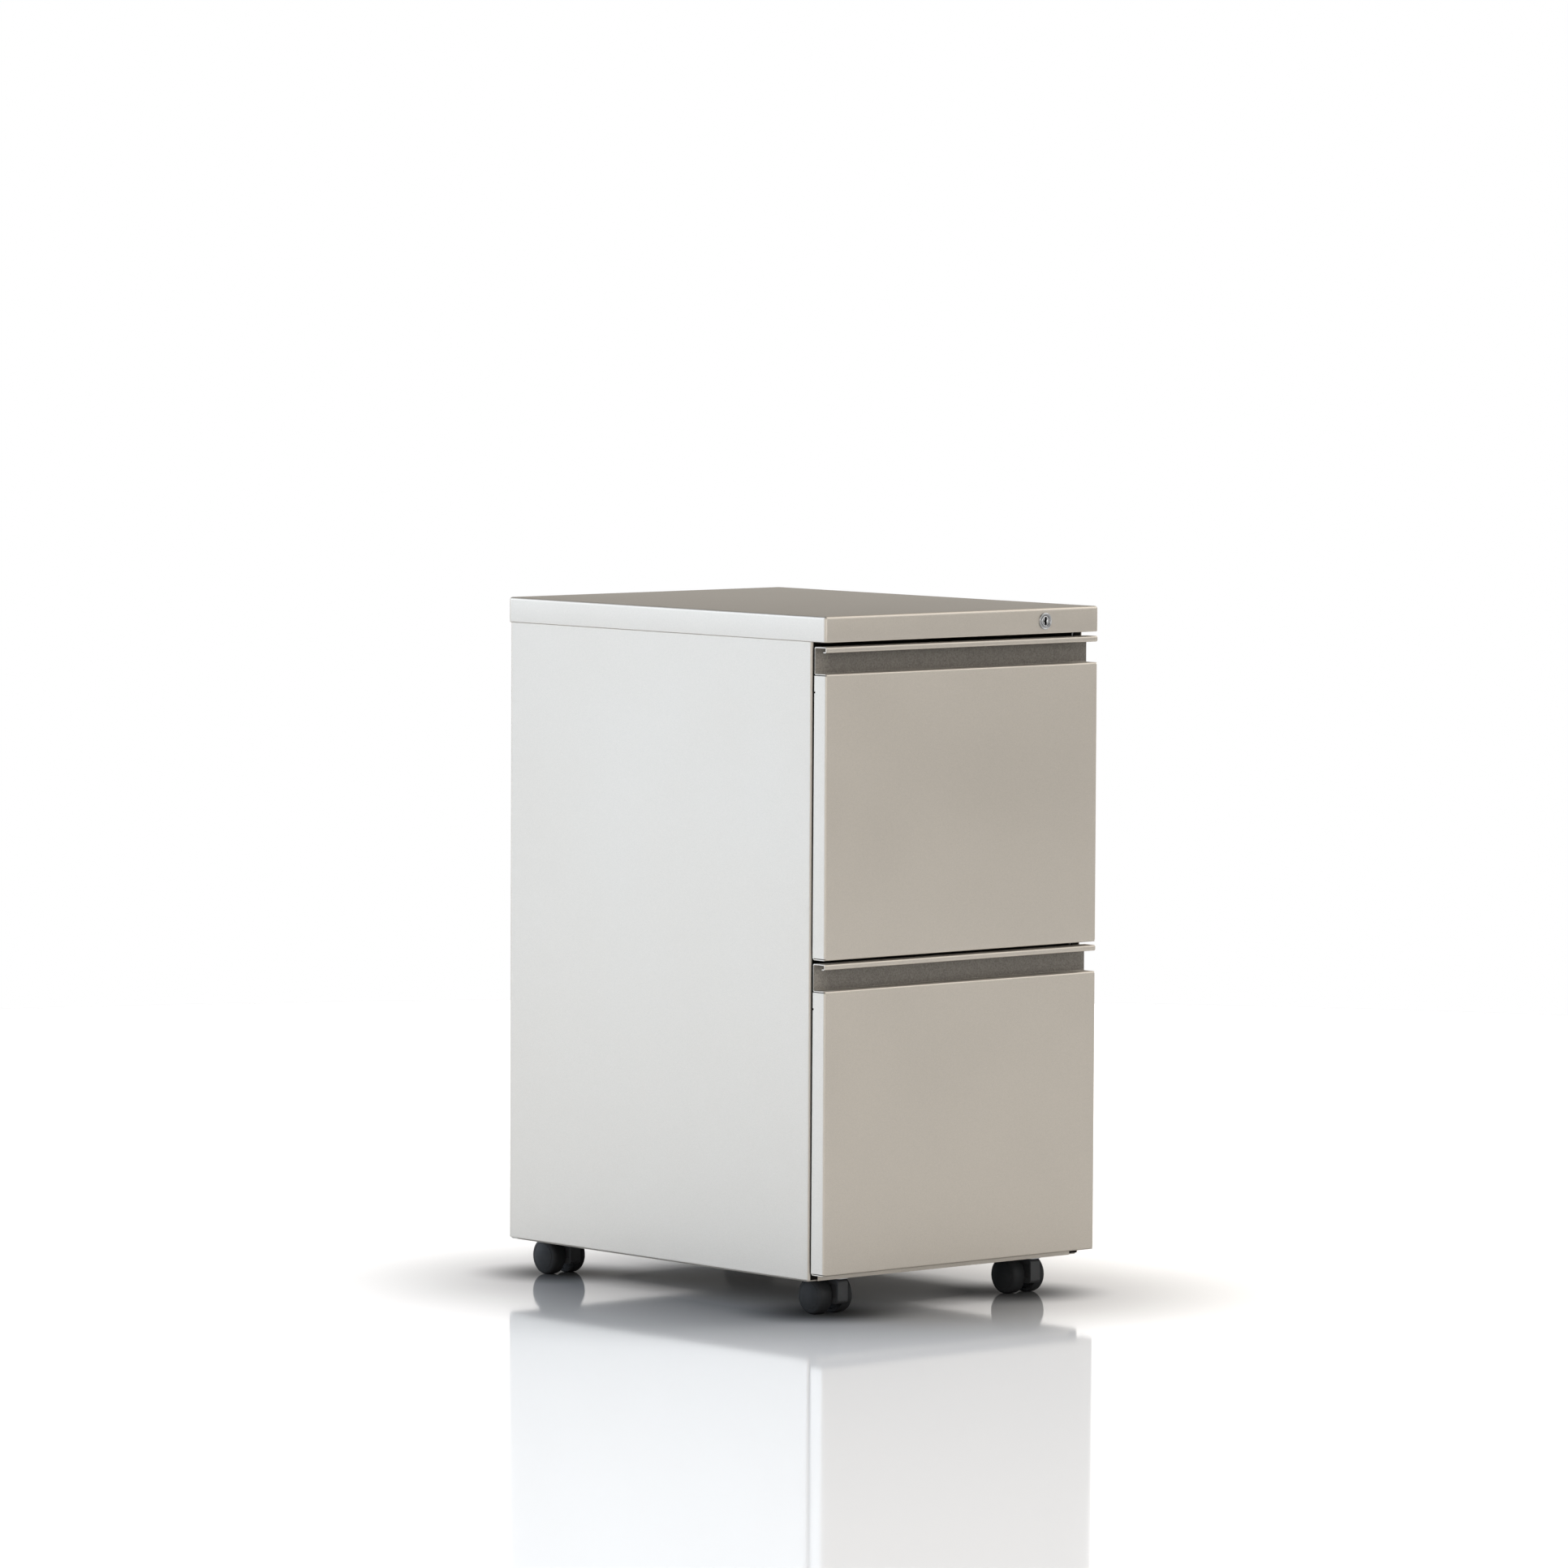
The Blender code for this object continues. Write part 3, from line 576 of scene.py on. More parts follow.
def screw():
    """Pan head with a cross recess. Its underside is at 0."""
    profile = [(0, 0.0019), (0.0014, 0.00185), (0.0026, 0.0015), (0.0033, 0.0009), (0.0035, 0.0003)]
    head = turned(profile + [(0.0034, 0), (0, 0)], "Z", sides=28)
    for reach_x, reach_y in ((0.0019, 0.00042), (0.00042, 0.0019)):
        head = boolean(head, block((-reach_x, -reach_y, 0.0008), (reach_x, reach_y, 0.003)))
    return head


def rivet():
    """Pop rivet's head, with the end of its pin sunk in the middle. Its underside is at 0."""
    profile = [(0, 0.0004), (0.0009, 0.0004), (0.0010, 0.0009), (0.0016, 0.00085)]
    profile += [(0.0024, 0.0006), (0.0029, 0.0002), (0.0030, 0), (0, 0)]
    return turned(profile, "Z", sides=28)


def channel(near, far, low, high, thickness=SHEET, radius=BEND - SHEET / 2):
    """The outline of a folded channel: its web at near, and its two legs reaching to far."""
    skin = [(far, low), (near, low), (near, high), (far, high)]
    return folded(skin if near > far else skin[::-1], thickness, radius)


def piece(name, bm, finish, body, replaced=(), edge=EDGE, smooth=40, look=None):
    """Puts a shape in the scene as a piece of the object, with rounded cut edges."""
    mesh = as_mesh(bm, name)
    obj = linked(name, mesh)
    mesh.materials.append(MATERIALS[look or finish])
    mesh.shade_smooth()
    mesh.set_sharp_from_angle(angle=math.radians(smooth))
    if edge:
        round_edges(obj, edge)
    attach(obj, body)
    if replaced:
        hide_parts(*replaced)
    return obj


def round_edges(obj, width, steps=2):
    """Rounds the sharp edges and keeps the flats flat."""
    bevel = obj.modifiers.new("Cut edges", "BEVEL")
    bevel.width = width
    bevel.segments = steps
    bevel.limit_method = "ANGLE"
    bevel.angle_limit = math.radians(45)
    bevel.harden_normals = True


def joint_place(name):
    """A point on a hinge's axis, at rest."""
    return Vector(next(joint["pos_m"] for joint in frame["joints"] if joint["name"] == name))


# ---------------------------------------------------------------- case


def build_cap():
    """Folded cover with five sides, a turned-in lower edge all round and the lock's hole."""
    low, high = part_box("top_cap")
    panel_low, panel_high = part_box("right_side_panel")
    middle = joint_place("lock_turn")
    bm = block(low, high)

    def at_bottom(edge):
        return max(vertex.co.z for vertex in edge.verts) < low.z + SHEET

    bevelled(bm, [edge for edge in bm.edges if not at_bottom(edge)], CAP_BEND, 10)
    bevelled(bm, [edge for edge in bm.edges if at_bottom(edge)], CAP_EDGE, 10)
    shell = thickened(bm)
    clear = 0.0001
    mouth_low = (-panel_high.x - clear, low.y + CAP_RETURN, low.z - SHEET)
    mouth_high = (panel_high.x + clear, panel_high.y + clear, low.z + 2 * CAP_EDGE)
    shell = boolean(shell, block(mouth_low, mouth_high))
    hole = rod(LOCK_HOLE, "Y", low.y - 0.01, low.y + 0.01, (middle.x, middle.z), 48)
    shell = boolean(shell, hole)
    # the cap's coat has painted shade on its top
    piece("cap_cover", shell, "paint", "cabinet", ["top_cap"], look="paint_with_lid_shade")


def build_side(name, side):
    """Side panel with folded front, rear and bottom edges, notched at the bottom corners."""
    low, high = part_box(f"{name}_side_panel")
    shell = tray(low, high, "+Z " + ("-X" if side > 0 else "+X"), SIDE_BEND, steps=8)
    reach = abs(high.x if side > 0 else low.x)
    inner, outer = sorted((side * (reach - 0.02), side * (reach + 0.01)))
    for y_low, y_high in ((high.y - 0.014, high.y + 0.01), (low.y - 0.01, low.y + 0.0035)):
        notch = block((inner, y_low, low.z - 0.01), (outer, y_high, low.z + 0.0016))
        shell = boolean(shell, notch)
    replaced = [f"{name}_side_panel"]
    # the side panel's coat has painted shade on its front fold
    piece(f"side_{name}", shell, "paint", "cabinet", replaced, look="paint_with_fold_shade")


# ---------------------------------------------------------------- drawer fronts


def front_rows(thick, face_height, lip_low, top):
    """The folded front's section, as (y, z) rows on the sheet's middle, and its folds' radius."""
    skin = [
        (LIP_RETURN, lip_low + SHEET),
        (SHEET, lip_low + SHEET),
        (SHEET, top - SHEET),
        (thick - SHEET, top - SHEET),
        (thick - SHEET, face_height),
        (0, face_height),
        (0, 0),
        (thick, 0),
        (thick, FOOT_RETURN),
    ]
    radius = PULL_BEND - SHEET / 2
    samples = with_bends(shifted(skin, SHEET / 2), radius, 8)
    return [tuple(point) for point, side in samples], radius


def drawer_front(level):
    """One sheet: lip, top, recess wall, ledge, face with two side flanges, and bottom fold."""
    low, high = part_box(f"{level}_drawer_front")
    thick, half = high.y - low.y, high.x
    top = high.z - low.z
    face_height, lip_low = top - PULL_HEIGHT, top - LIP_HEIGHT
    rows, radius = front_rows(thick, face_height, lip_low, top)
    face_plane = SHEET / 2
    edge = half - SHEET / 2
    flat = edge - radius
    bm = bmesh.new()
    grid = []
    for y, z in rows:
        on_face = abs(y - face_plane) < 1e-6 and z < face_height - radius
        near_face = y < face_plane + radius and z < face_height
        columns = []
        if on_face:
            deeper = FLANGE_FLARE if z < face_height / 2 else 0
            columns = [(edge, thick + deeper)]
            columns += [
                (flat + radius * math.sin(t), face_plane + radius - radius * math.cos(t))
                for t in (math.pi / 2 * i / 8 for i in range(8, 0, -1))
            ]
            columns.append((flat, y))
        else:
            reach = half - 0.0002
            if near_face:
                share = (y - face_plane) / radius
                round_off = math.sqrt(min(1, max(0, 2 * share - share**2)))
                reach = flat + (reach - flat) * round_off
            columns = [(reach, y), (flat, y)]
        whole = [(-x, depth) for x, depth in columns] + columns[::-1]
        grid.append([bm.verts.new((x, low.y + depth, low.z + z)) for x, depth in whole])
    for upper, lower in zip(grid, grid[1:]):
        if len(upper) == len(lower):
            for i in range(len(upper) - 1):
                bm.faces.new((upper[i], upper[i + 1], lower[i + 1], lower[i]))
        else:
            few, many = sorted((upper, lower), key=len)
            inner = len(many) // 2
            bm.faces.new((few[1], few[2], many[inner], many[inner - 1]))
            bm.faces.new((few[0], few[1], many[inner - 1]))
            bm.faces.new((few[2], few[3], many[inner]))
    bmesh.ops.recalc_face_normals(bm, faces=bm.faces)
    front = thickened(bm, offset=0)
    hooks = []
    for side in SIDES.values():
        x = side * half
        z = low.z + face_height - HOOK_HEIGHT
        notch_low = (x - 0.004, low.y + thick - 0.0014, z - 0.0009)
        hooks.append(block(notch_low, (x + 0.004, low.y + thick + 0.004, z + 0.0009)))
    return boolean(front, merged(*hooks))


def build_drawer_fronts():
    for level in LEVELS:
        shape = drawer_front(level)
        replaced = [f"{level}_drawer_front"]
        # the front's coat has painted shade inside its pull
        piece(f"{level}_front", shape, "paint", f"{level}_drawer", replaced, look="paint_with_pull_shade")


# ---------------------------------------------------------------- inside the case


def build_back():
    """Back sheet with two full-height swages, and the rivets along the side panels' folds."""
    low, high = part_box("back_panel")
    swage, slope, sunk = 0.014, 0.002, low.y - SWAGE_DEPTH
    path = [(low.x, low.y)]
    for middle in (-SWAGE_PLACE, SWAGE_PLACE):
        path += [(middle - swage - slope, low.y), (middle - swage, sunk)]
        path += [(middle + swage, sunk), (middle + swage + slope, low.y)]
    path.append((high.x, low.y))
    sheet = prism(folded(path, SHEET, 0.0012), "Z", low.z, high.z)
    piece("back_sheet", sheet, "paint", "cabinet", ["back_panel"])
    panel_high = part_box("right_side_panel")[1]
    column = panel_high.x - 0.0066
    levels = [low.z + 0.035 + step * (high.z - low.z - 0.09) / 5 for step in range(6)]
    places = [(side * column, panel_high.y, z) for side in SIDES.values() for z in levels]
    rivets = copies(rivet(), [(place, (0, 1, 0)) for place in places])
    piece("back_rivets", rivets, "zinc", "cabinet", (), 0)


def build_bottom():
    """Pan with its folds and stem holes, the rail under the lower drawer, and the iron block."""
    low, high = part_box("bottom_pan")
    pan = tray(low, high, "-Z", 0.002, 0.0012)
    for corner in CORNERS:
        stem = joint_place(f"{corner}_swivel")
        hole = rod(STEM_HOLE, "Z", low.z - 0.01, high.z + 0.01, (stem.x, stem.y), 48)
        pan = boolean(pan, hole)
    piece("pan_tray", pan, "inner_paint", "cabinet", ["bottom_pan"])
    low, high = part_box("bottom_front_rail")
    skin = [(high.y, high.z), (low.y, high.z), (low.y, low.z)]
    rail = prism(folded(skin), "X", low.x, high.x)
    piece("front_rail", rail, "paint", "cabinet", ["bottom_front_rail"])
    low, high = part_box("counterweight")
    iron = block(low, high, 0.004, 4)
    piece("iron_block", iron, "iron", "cabinet", ["counterweight"], 0)
    bolts = []
    for side in SIDES.values():
        bolts.append(((side * high.x * 0.72, (low.y + high.y) / 2, high.z), (0, 0, 1)))
    washer = turned([(0, 0), (0.0095, 0), (0.0095, 0.0014), (0, 0.0014)], "Z", sides=40)
    head = prism(arc((0, 0), 0.0075, 0, 300, 5), "Z", 0.0012, 0.0066)
    bolt = boolean(washer, head, "UNION")
    piece("iron_block_bolts", copies(bolt, bolts), "zinc", "cabinet")


def build_uprights():
    """Slotted channels behind the side panels."""
    for end in ("front", "rear"):
        for name, side in SIDES.items():
            node = f"{end}_{name}_upright"
            low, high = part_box(node)
            near, far = (low.x, high.x) if side > 0 else (high.x, low.x)
            post = prism(channel(near, far, low.y, high.y), "Z", low.z, high.z)
            middle = (low.y + high.y) / 2
            slots = []
            for i in range(12):
                z = low.z + 0.04 + 0.05 * i
                slot_low = (near - 0.004, middle - 0.009, z)
                slots.append(block(slot_low, (near + 0.004, middle + 0.009, z + 0.005)))
            post = boolean(post, merged(*slots))
            piece(f"{end}_{name}_post", post, "zinc", "cabinet", [node])


def build_sockets():
    """Sleeves that grip the caster stems, with a ribbed collar."""
    for corner in CORNERS:
        node = f"{corner}_caster_socket"
        stem = joint_place(f"{corner}_swivel")
        low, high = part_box(node)
        flange, sleeve, bore = (high.x - low.x) / 2, 0.0075, STEM_RADIUS + 0.0004
        profile = [(bore, low.z), (flange - 0.0004, low.z), (flange, low.z + 0.0004)]
        profile += [(flange, low.z + 0.0012), (flange - 0.0004, low.z + 0.0016)]
        profile += [(sleeve + 0.0008, low.z + 0.0016), (sleeve, low.z + 0.0024)]
        for rise in (0.008, 0.013, 0.018):
            profile += [(sleeve, low.z + rise), (sleeve - 0.0006, low.z + rise + 0.0008)]
            profile += [(sleeve - 0.0006, low.z + rise + 0.0018), (sleeve, low.z + rise + 0.0026)]
        profile += [(sleeve, high.z - 0.0006), (sleeve - 0.0006, high.z), (bore, high.z)]
        shape = turned(profile, "Z", (stem.x, stem.y, 0), 48)
        piece(f"{corner}_sleeve", shape, "zinc", "cabinet", [node], 0)


# ---------------------------------------------------------------- drawer boxes and slides


def build_tub(level):
    """Folded box with beads across its floor, the screws that hold it, and its two file rails."""
    low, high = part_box(f"{level}_drawer_tub")
    body = f"{level}_drawer"
    tub = tray(low, high, "+Z", 0.0022, steps=8)
    for share in (0.2, 0.4, 0.6, 0.8):
        y = low.y + share * (high.y - low.y)
        reach = high.x - 0.022
        wall, width, rise = 0.0012, 0.007, 0.0016
        raised_low = (-reach, y - width, low.z + 0.0003)
        raised = block(raised_low, (reach, y + width, low.z + SHEET + rise), wall)
        hollow_low = (wall - reach, y - width + wall, low.z - 0.01)
        hollow = block(hollow_low, (reach - wall, y + width - wall, low.z + 0.0015))
        tub = boolean(boolean(tub, raised, "UNION"), hollow)
    piece(f"{level}_tub", tub, "inner_paint", body, [f"{level}_drawer_tub"])
    slide_low, slide_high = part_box(f"{level}_right_slide_inner")
    slide_level = (slide_low.z + slide_high.z) / 2
    screws = []
    for side in SIDES.values():
        for y in (low.y + 0.035, low.y + 0.19, low.y + 0.38):
            screws.append(((side * (high.x - SHEET), y, slide_level), (-side, 0, 0)))
        for z in (low.z + 0.04, high.z - 0.045):
            screws.append(((side * (high.x - 0.03), low.y + SHEET, z), (0, 1, 0)))
    piece(f"{level}_tub_screws", copies(screw(), screws), "zinc", body, (), 0)
    for name, side in SIDES.items():
        node = f"{level}_{name}_hanging_rail"
        low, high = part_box(node)
        inner, outer = (low.x, high.x) if side > 0 else (-high.x, -low.x)
        skin = [(outer, low.z), (outer, high.z), (inner, high.z), (inner, low.z)]
        rail = prism(mirrored(folded(skin, SHEET, 0.0008), side), "Y", low.y, high.y)
        piece(f"{level}_{name}_file_rail", rail, "zinc", body, [node])


def slide_holes(near, y_low, y_high, z, count, radius):
    """Cutters for a row of holes in a slide's web."""
    step = (y_high - y_low - 0.06) / (count - 1)
    row = [y_low + 0.03 + step * i for i in range(count)]
    return merged(*[rod(radius, "X", near - 0.004, near + 0.004, (y, z), 20) for y in row])


def build_slides(level):
    """The three members of each slide, and the ball cages that run between them."""
    bodies = {"outer": "cabinet", "middle": f"{level}_slide_middles", "inner": f"{level}_drawer"}
    for name, side in SIDES.items():
        boxes = {}
        for member, body in bodies.items():
            node = f"{level}_{name}_slide_{member}"
            low, high = boxes[member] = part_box(node)
            near, far = (high.x, low.x) if (side > 0) != (member == "inner") else (low.x, high.x)
            shape = prism(channel(near, far, low.z, high.z, SLIDE_SHEET, 0.001), "Y", low.y, high.y)
            z = (low.z + high.z) / 2
            count, radius = (5, 0.0030) if member == "outer" else (4, 0.0024)
            shape = boolean(shape, slide_holes(near, low.y, high.y, z, count, radius))
            piece(f"{level}_{name}_{member}_member", shape, "zinc", body, [node])
        cage = ball_cage(boxes["outer"], boxes["middle"], side, 0.02)
        other = ball_cage(boxes["middle"], boxes["inner"], side, 0.25)
        run = merged(cage, other)
        piece(f"{level}_{name}_ball_cages", run, "zinc", bodies["middle"], (), 0, 30)


def ball_cage(round_it, inside_it, side, start):
    """Two rows of balls in their strips, between one member's legs and the next one's."""
    (outer_low, outer_high), (inner_low, inner_high) = round_it, inside_it
    gap = (outer_high.z - SLIDE_SHEET - inner_high.z) / 2
    radius = gap - 0.0001
    lane_low = max(outer_low.x, inner_low.x) + 0.0012
    lane_high = min(outer_high.x, inner_high.x) - 0.0012
    lane = (lane_low + lane_high) / 2
    length, count = 0.18, 12
    y_low = inner_low.y + start
    shapes = []
    for z in (outer_high.z - SLIDE_SHEET - gap, outer_low.z + SLIDE_SHEET + gap):
        strip_low = (lane_low, y_low, z - 0.0003)
        shapes.append(block(strip_low, (lane_high, y_low + length, z + 0.0003), 0.0002, 1))
        for i in range(count):
            ball = bmesh.new()
            bmesh.ops.create_icosphere(ball, subdivisions=2, radius=radius)
            y = y_low + length * (i + 0.5) / count
            bmesh.ops.translate(ball, verts=ball.verts, vec=(lane, y, z))
            shapes.append(ball)
    return merged(*shapes)


# ---------------------------------------------------------------- lock


def slot_outline(path, width):
    """The outline of a slot of even width with round ends, along a path."""
    points = [Vector(point) for point in path]
    half = width / 2
    near = shifted(path, -half)
    far = shifted(path, half)
    first = (points[0] - points[1]).normalized()
    last = (points[-1] - points[-2]).normalized()

    def end(middle, heading):
        turn = math.degrees(math.atan2(heading.y, heading.x))
        return arc(tuple(middle), half, turn - 90, turn + 90, 8)[1:-1]

    ends = end(points[-1], last), end(points[0], first)
    return [tuple(p) for p in near] + ends[0] + [tuple(p) for p in far[::-1]] + ends[1]


def boss(middle, face, place, size, rise=0.0006):
    """Low rounded swelling on the plug's face, beside the key slot."""
    dome = [(share, -rise * (1 - share**2)) for share in (0, 0.25, 0.5, 0.7, 0.85, 1)]
    bm = turned(dome + [(1, 0.001), (0, 0.001)], "Y", sides=32)
    for vertex in bm.verts:
        x, y, z = vertex.co
        across = middle.x + place[0] + x * size[0]
        vertex.co = (across, face + y, middle.z + place[1] + z * size[1])
    return bm


def build_lock():
    """Bright flanged housing and the plug with its wavy key slot."""
    middle = joint_place("lock_turn")
    low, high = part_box("lock_housing")
    plug_low, plug_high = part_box("lock_plug")
    flange = (high.x - low.x) / 2
    plug = (plug_high.x - plug_low.x) / 2
    bore, barrel = plug + 0.0004, flange - 0.0009
    bead = 0.00055
    face = low.y + 0.0004
    axis = (middle.x, 0, middle.z)
    profile = [(bore, high.y), (bore, face + 0.0002), (bore + 0.0002, face)]
    profile += [(flange - 3.2 * bead, face - 0.0001)]
    profile += arc((flange - 1.5 * bead, low.y + bead), bead, 200, 270, 5)
    profile += arc((flange - bead, low.y + bead), bead, 270, 360, 8)
    profile += [(flange, low.y + 0.0011), (barrel, low.y + 0.0011), (barrel, high.y)]
    piece("lock_ring", turned(profile, "Y", axis, 72), "nickel", "cabinet", ["lock_housing"], 0)

    front = plug_low.y
    edge = 0.0003
    profile = [(0, front), (plug - 2 * edge, front), (plug - edge, front + 0.00008)]
    profile += [(plug, front + edge), (plug, plug_high.y), (0, plug_high.y)]
    body = turned(profile, "Y", axis, 64)
    right = boss(middle, front + 0.0001, (0.0026, -0.0002), (0.0013, 0.0020))
    left = boss(middle, front + 0.0001, (-0.0022, -0.0018), (0.0007, 0.001))
    for swelling in (right, left):
        body = boolean(body, swelling, "UNION")
    wave = ((2, 34), (2, 10), (-9, -4), (0, -18), (1, -33))  # tenths of a millimetre
    path = [(middle.x + x * 0.0001, middle.z + z * 0.0001) for x, z in wave]
    slot = prism(slot_outline(path, 0.0025), "Y", front - 0.002, front + 0.014)
    body = boolean(body, slot)
    piece("lock_key_plug", body, "nickel", "lock_cylinder", ["lock_plug"], 0, 30)


# ---------------------------------------------------------------- casters


def wheel(low, high, bore_depth, side):
    """One wheel: rounded tread, domed outer face with a cap seam, and a recessed inner face."""
    middle = (low + high) / 2
    radius = (high.z - low.z) / 2
    inner, outer = (low.x, high.x) if side > 0 else (-high.x, -low.x)
    bore, bore_end, groove = 0.0031, inner + bore_depth, inner + 0.0016
    crown, dome, chamfer, seam = 0.0045, 0.0020, 0.0012, 0.0143
    profile = [(0, bore_end), (bore, bore_end), (bore, inner + 0.0003), (bore + 0.0003, inner)]
    profile += [(0.0085, inner), (0.0092, groove), (0.0150, groove), (0.0158, inner)]
    profile += arc((radius - chamfer, inner + chamfer), chamfer, -90, 0, 6)
    profile += arc((radius - crown, outer - dome - crown), crown, 0, 62, 12)
    rim_radius, rim_along = profile[-1]
    rise = outer - rim_along

    def crest(at):
        return outer - rise * (at / rim_radius) ** 2.1

    profile += [(at, crest(at)) for at in (0.0158, 0.0151, 0.0146) if at < rim_radius]
    profile += [(seam + 0.0001, crest(seam) - 0.00025), (seam - 0.0001, crest(seam) - 0.00025)]
    disc = (0.0140, 0.0128, 0.0112, 0.0094, 0.0075, 0.0055, 0.0034, 0.0016)
    profile += [(at, crest(at)) for at in disc]
    profile.append((0, outer))
    placed = [(at, side * along) for at, along in profile]
    return turned(placed, "X", (0, middle.y, middle.z), 80)


def caster_strut(corner):
    """The strut between the wheels: flat front, round back, and a hollow in each side."""
    stem, axle = joint_place(f"{corner}_swivel"), joint_place(f"{corner}_left_roll")
    front, nose = stem.y - STRUT_FRONT, 0.004
    outline = arc((front + nose, STRUT_TOP - nose), nose, 180, 90, 8)
    outline += [(stem.y + STRUT_BACK, STRUT_TOP)]
    outline += arc((axle.y, axle.z), axle.z - STRUT_GAP, 60, -90, 20)
    outline += arc((front + nose, STRUT_GAP + nose), nose, 270, 180, 8)
    strut = prism(outline, "X", stem.x - STRUT_HALF, stem.x + STRUT_HALF)
    bolt = rod(0.0030, "X", stem.x - 0.02, stem.x + 0.02, (axle.y, axle.z))
    strut = boolean(strut, bolt)
    for side in SIDES.values():
        face = stem.x + side * STRUT_HALF
        low = (face - 0.0009, stem.y - 0.0055, STRUT_GAP + 0.006)
        high = (face + 0.0009, axle.y - 0.0075, STRUT_TOP - 0.006)
        strut = boolean(strut, block(low, high, 0.0008))
    return strut


def build_caster(corner):
    """The strut, the stem with its bearing disc, and the two wheels."""
    stem = joint_place(f"{corner}_swivel")
    body, replaced = f"{corner}_caster", [f"{corner}_caster_body"]
    strut = caster_strut(corner)
    piece(f"{corner}_strut", strut, "nylon", body, replaced, 0.0006, look="strut_nylon")
    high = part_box(f"{corner}_caster_body")[1]
    groove, edge = 0.0008, 0.0003
    profile = [(0, STEM_ROOT), (STEM_RADIUS, STEM_ROOT), (STEM_RADIUS, DISC_LOW)]
    profile += [(DISC_RADIUS - edge, DISC_LOW), (DISC_RADIUS, DISC_LOW + edge)]
    profile += [(DISC_RADIUS, DISC_HIGH - edge), (DISC_RADIUS - edge, DISC_HIGH)]
    profile.append((STEM_RADIUS, DISC_HIGH))
    profile += [(STEM_RADIUS, high.z - 0.0080), (STEM_RADIUS - groove, high.z - 0.0074)]
    profile += [(STEM_RADIUS - groove, high.z - 0.0050), (STEM_RADIUS, high.z - 0.0044)]
    profile += [(STEM_RADIUS, high.z - groove), (STEM_RADIUS - groove, high.z), (0, high.z)]
    piece(f"{corner}_stem", turned(profile, "Z", (stem.x, stem.y, 0), 40), "zinc", body, (), 0)
    axle_low, axle_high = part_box(f"{corner}_caster_axle")
    axle_half = (axle_high.x - axle_low.x) / 2
    for name, side in SIDES.items():
        node = f"{corner}_caster_{name}_wheel"
        low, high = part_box(node)
        inner = abs((low if side > 0 else high).x - stem.x)
        shape = wheel(low, high, axle_half - inner + 0.0003, side)
        piece(f"{corner}_{name}_roller", shape, "nylon", f"{corner}_{name}_wheel", [node], 0, 25)


# ---------------------------------------------------------------- kept CAD nodes

KEPT_EDGE = 0.0002


def finish_kept_nodes():
    """The CAD nodes that stay in sight keep their shape and get finishes and rounded edges."""
    slots = {part["node"]: part["material_slot"] for part in frame["record"]["subparts"]}
    for name, obj in frame["nodes"].items():
        if obj.hide_render:
            continue
        finish = MATERIALS[slots[name]]
        for socket in obj.material_slots:
            socket.material = finish
        weld = obj.modifiers.new("Weld", "WELD")
        weld.merge_threshold = 1e-6
        round_edges(obj, KEPT_EDGE)


# ---------------------------------------------------------------- stage

WHITE, COOL, WARM = (1.0, 1.0, 1.0), (0.87, 1.0, 1.19), (1.04, 1.0, 0.96)

# Soft boxes all round: direction, outer and inner edge in degrees off it, brightness and tint.
# Each brightness is chosen for the tone of the faces and the floor that mirror that box.
SOFT_BOXES = (
    ((0.66, -0.75, 0.10), 45, 15, 0.45, WHITE),
    ((0.55, -0.65, 0.60), 40, 15, 1.20, WHITE),
    ((-0.66, 0.75, 0.20), 34, 12, 2.60, COOL),
    ((-0.60, 0.60, 0.60), 40, 15, 1.15, COOL),
    ((0.66, 0.75, 0.15), 45, 15, 1.55, WARM),
    ((0.50, 0.60, 0.65), 40, 12, 0.30, WHITE),
    ((0.95, 0.10, 0.20), 40, 15, 1.60, WHITE),
    ((0.66, -0.12, 0.74), 30, 10, 1.70, WARM),
    ((-0.15, -0.98, 0.12), 28, 10, 2.40, WHITE),
    ((-0.80, -0.55, 0.15), 45, 15, 0.50, WARM),
    ((-1.00, -0.10, 0.12), 36, 12, 1.30, WHITE),
    ((0.00, 1.00, 0.12), 32, 12, 1.50, WHITE),
)


def glow(nodes, direction, towards, edge, core):
    """How far a direction lies inside a soft box, from 0 at its edge to 1 in its core."""
    along = nodes.vector("DOT_PRODUCT", {0: direction, 1: Vector(towards).normalized()}, "Value")
    first, last = (math.cos(math.radians(angle)) for angle in (edge, core))
    return nodes.spread(along, 0, 1, first, last, "SMOOTHSTEP")


def build_world():
    """A white room to the camera, and soft boxes of light to everything else."""
    world = bpy.data.worlds.new("studio")
    bpy.context.scene.world = world
    world.use_nodes = True
    nodes = Nodes(world.node_tree)
    world.node_tree.nodes.clear()
    direction = nodes.add("TexCoord").outputs["Generated"]
    light = None
    for towards, edge, core, brightness, tint in SOFT_BOXES:
        colour = [brightness * channel for channel in tint]
        lit = nodes.tint(colour, glow(nodes, direction, towards, edge, core))
        light = lit if light is None else nodes.vector("ADD", {0: light, 1: lit})
    lighting = nodes.add("Background", {"Color": light}).outputs[0]
    seen = nodes.add("Background", {"Color": (1, 1, 1, 1)}).outputs[0]
    camera_ray = nodes.add("LightPath").outputs["Is Camera Ray"]
    mix = nodes.add("MixShader", {"Fac": camera_ray, 1: lighting, 2: seen})
    nodes.add("OutputWorld", {"Surface": mix.outputs[0]})


FLOOR_RADIUS = 3.2
FLOOR_COLOUR = (0.92, 0.92, 0.92)
FLOOR_ROUGHNESS = 0.07
SHEEN = 0.42  # share of the sheen in the open
SHEEN_UNDER = 0.03  # and under the cabinet
UNDER_PAINTED_SHADOW = 0.42  # painted shadow, as the tone of the floor under the cabinet
CASTER_PAINTED_SHADOW = 0.25  # painted shadow, as a further factor at a caster
CORNER = 0.12  # rounding of the shaded area's outline


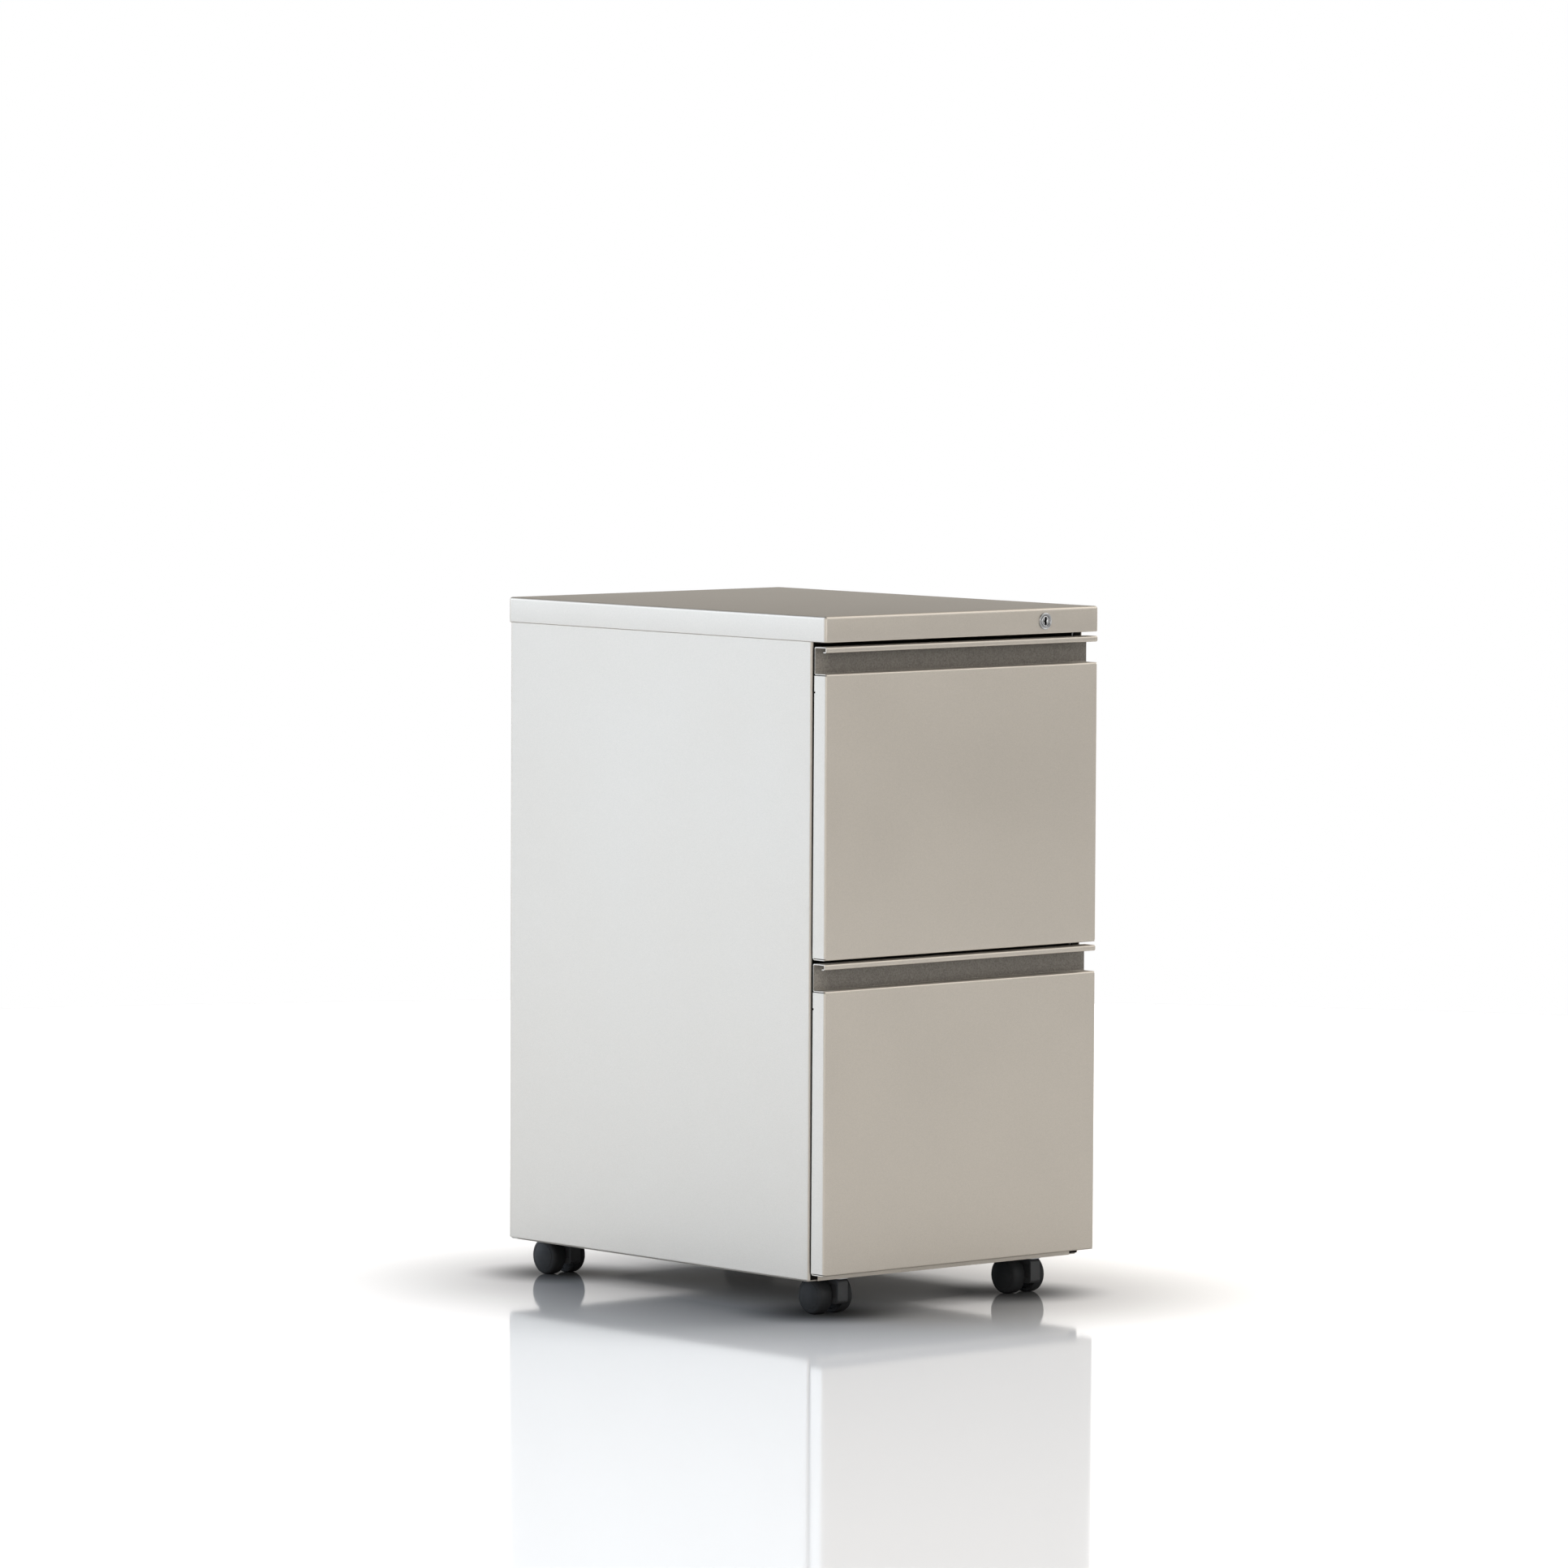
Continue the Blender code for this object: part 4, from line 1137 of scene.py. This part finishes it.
def outside_footprint(nodes):
    """How far a place on the floor lies outside the cabinet's outline, in metres."""
    x, y, z = nodes.axes()
    squares = []
    for value, reach in ((x, cad_high.x), (y, cad_high.y)):
        past = nodes.math("SUBTRACT", nodes.math("ABSOLUTE", value), reach - CORNER)
        past = nodes.math("MAXIMUM", past, 0.0)
        squares.append(nodes.times(past, past))
    return nodes.math("SUBTRACT", nodes.math("SQRT", nodes.plus(*squares)), CORNER)


def caster_distance(nodes):
    """How far a place on the floor lies from the nearest caster's axle, in metres."""
    nearest = FLOOR_RADIUS
    for corner in CORNERS:
        low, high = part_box(f"{corner}_caster_axle")
        middle = ((low.x + high.x) / 2, (low.y + high.y) / 2, 0)
        gap = nodes.vector("DISTANCE", {0: nodes.place(), 1: middle}, "Value")
        nearest = nodes.math("MINIMUM", gap, nearest)
    return nearest


def build_floor():
    """Plain pale floor with a soft sheen, and painted shadow under the cabinet and round its casters."""
    bm = bmesh.new()
    bmesh.ops.create_circle(bm, cap_ends=True, radius=FLOOR_RADIUS, segments=96)
    mesh = as_mesh(bm, "floor")
    floor = linked("floor", mesh)
    material = bpy.data.materials.new("pale_floor")
    material.use_nodes = True
    material.node_tree.nodes.clear()
    nodes = Nodes(material.node_tree)
    # painted shadow: the floor's colour and sheen colour darken under the cabinet and round each caster
    outside = outside_footprint(nodes)
    under = nodes.spread(outside, UNDER_PAINTED_SHADOW, 1.0, -0.08, 0.34, "SMOOTHSTEP")
    near = nodes.spread(caster_distance(nodes), CASTER_PAINTED_SHADOW, 1.0, 0.015, 0.11, "SMOOTHSTEP")
    shade = nodes.times(under, near)
    matt = nodes.add("BsdfDiffuse", {"Color": nodes.tint(FLOOR_COLOUR, shade)}).outputs[0]
    coat = {"Color": nodes.tint(WHITE, shade), "Roughness": FLOOR_ROUGHNESS}
    sheen = nodes.add("BsdfGlossy", coat).outputs[0]
    share = nodes.spread(outside, SHEEN_UNDER, SHEEN, -0.08, -0.01)
    mix = nodes.add("MixShader", {"Fac": share, 1: matt, 2: sheen})
    nodes.add("OutputMaterial", {"Surface": mix.outputs[0]})
    mesh.materials.append(material)


KEY_PLACE, KEY_TARGET = Vector((-3.6, -3.2, 1.9)), Vector((0, 0, 0.4))
KEY_POWER = 20  # watts
KEY_COLOUR = (1.0, 0.97, 0.93)


def build_key_light():
    """A small soft light on the camera's side, for the highlights along the folds."""
    data = bpy.data.lights.new("key", "AREA")
    data.shape = "RECTANGLE"
    data.size, data.size_y = 0.6, 1.2
    data.energy = KEY_POWER
    data.color = KEY_COLOUR
    light = linked("key", data)
    light.location = KEY_PLACE
    light.rotation_euler = (KEY_TARGET - KEY_PLACE).to_track_quat("-Z", "Y").to_euler()
    light.visible_camera = False


CAMERA_PLACE = (-6.22739, -7.09056, 1.19171)
YAW, PITCH, ROLL = 41.182, -4.005, 0.275
LENS = 205.84  # millimetres, on a sensor 36 mm wide


def build_camera():
    """The photograph's viewpoint: yaw from +Y towards +X, pitch above the horizon, in degrees."""
    data = bpy.data.cameras.new("camera")
    data.lens = LENS
    data.sensor_width = 36
    data.clip_end = 100
    camera = linked("camera", data)
    turn = Matrix.Identity(4)
    for angle, axis in ((-YAW, "Z"), (90 + PITCH, "X"), (ROLL, "Z")):
        turn = turn @ Matrix.Rotation(math.radians(angle), 4, axis)
    camera.matrix_world = Matrix.Translation(CAMERA_PLACE) @ turn
    bpy.context.scene.camera = camera


build_cap()
for side_name, side_sign in SIDES.items():
    build_side(side_name, side_sign)
build_drawer_fronts()
build_back()
build_bottom()
build_uprights()
build_sockets()
for level_name in LEVELS:
    build_tub(level_name)
    build_slides(level_name)
build_lock()
for corner_name in CORNERS:
    build_caster(corner_name)
finish_kept_nodes()
build_world()
build_floor()
build_key_light()
build_camera()
bpy.context.scene.view_settings.view_transform = "Standard"
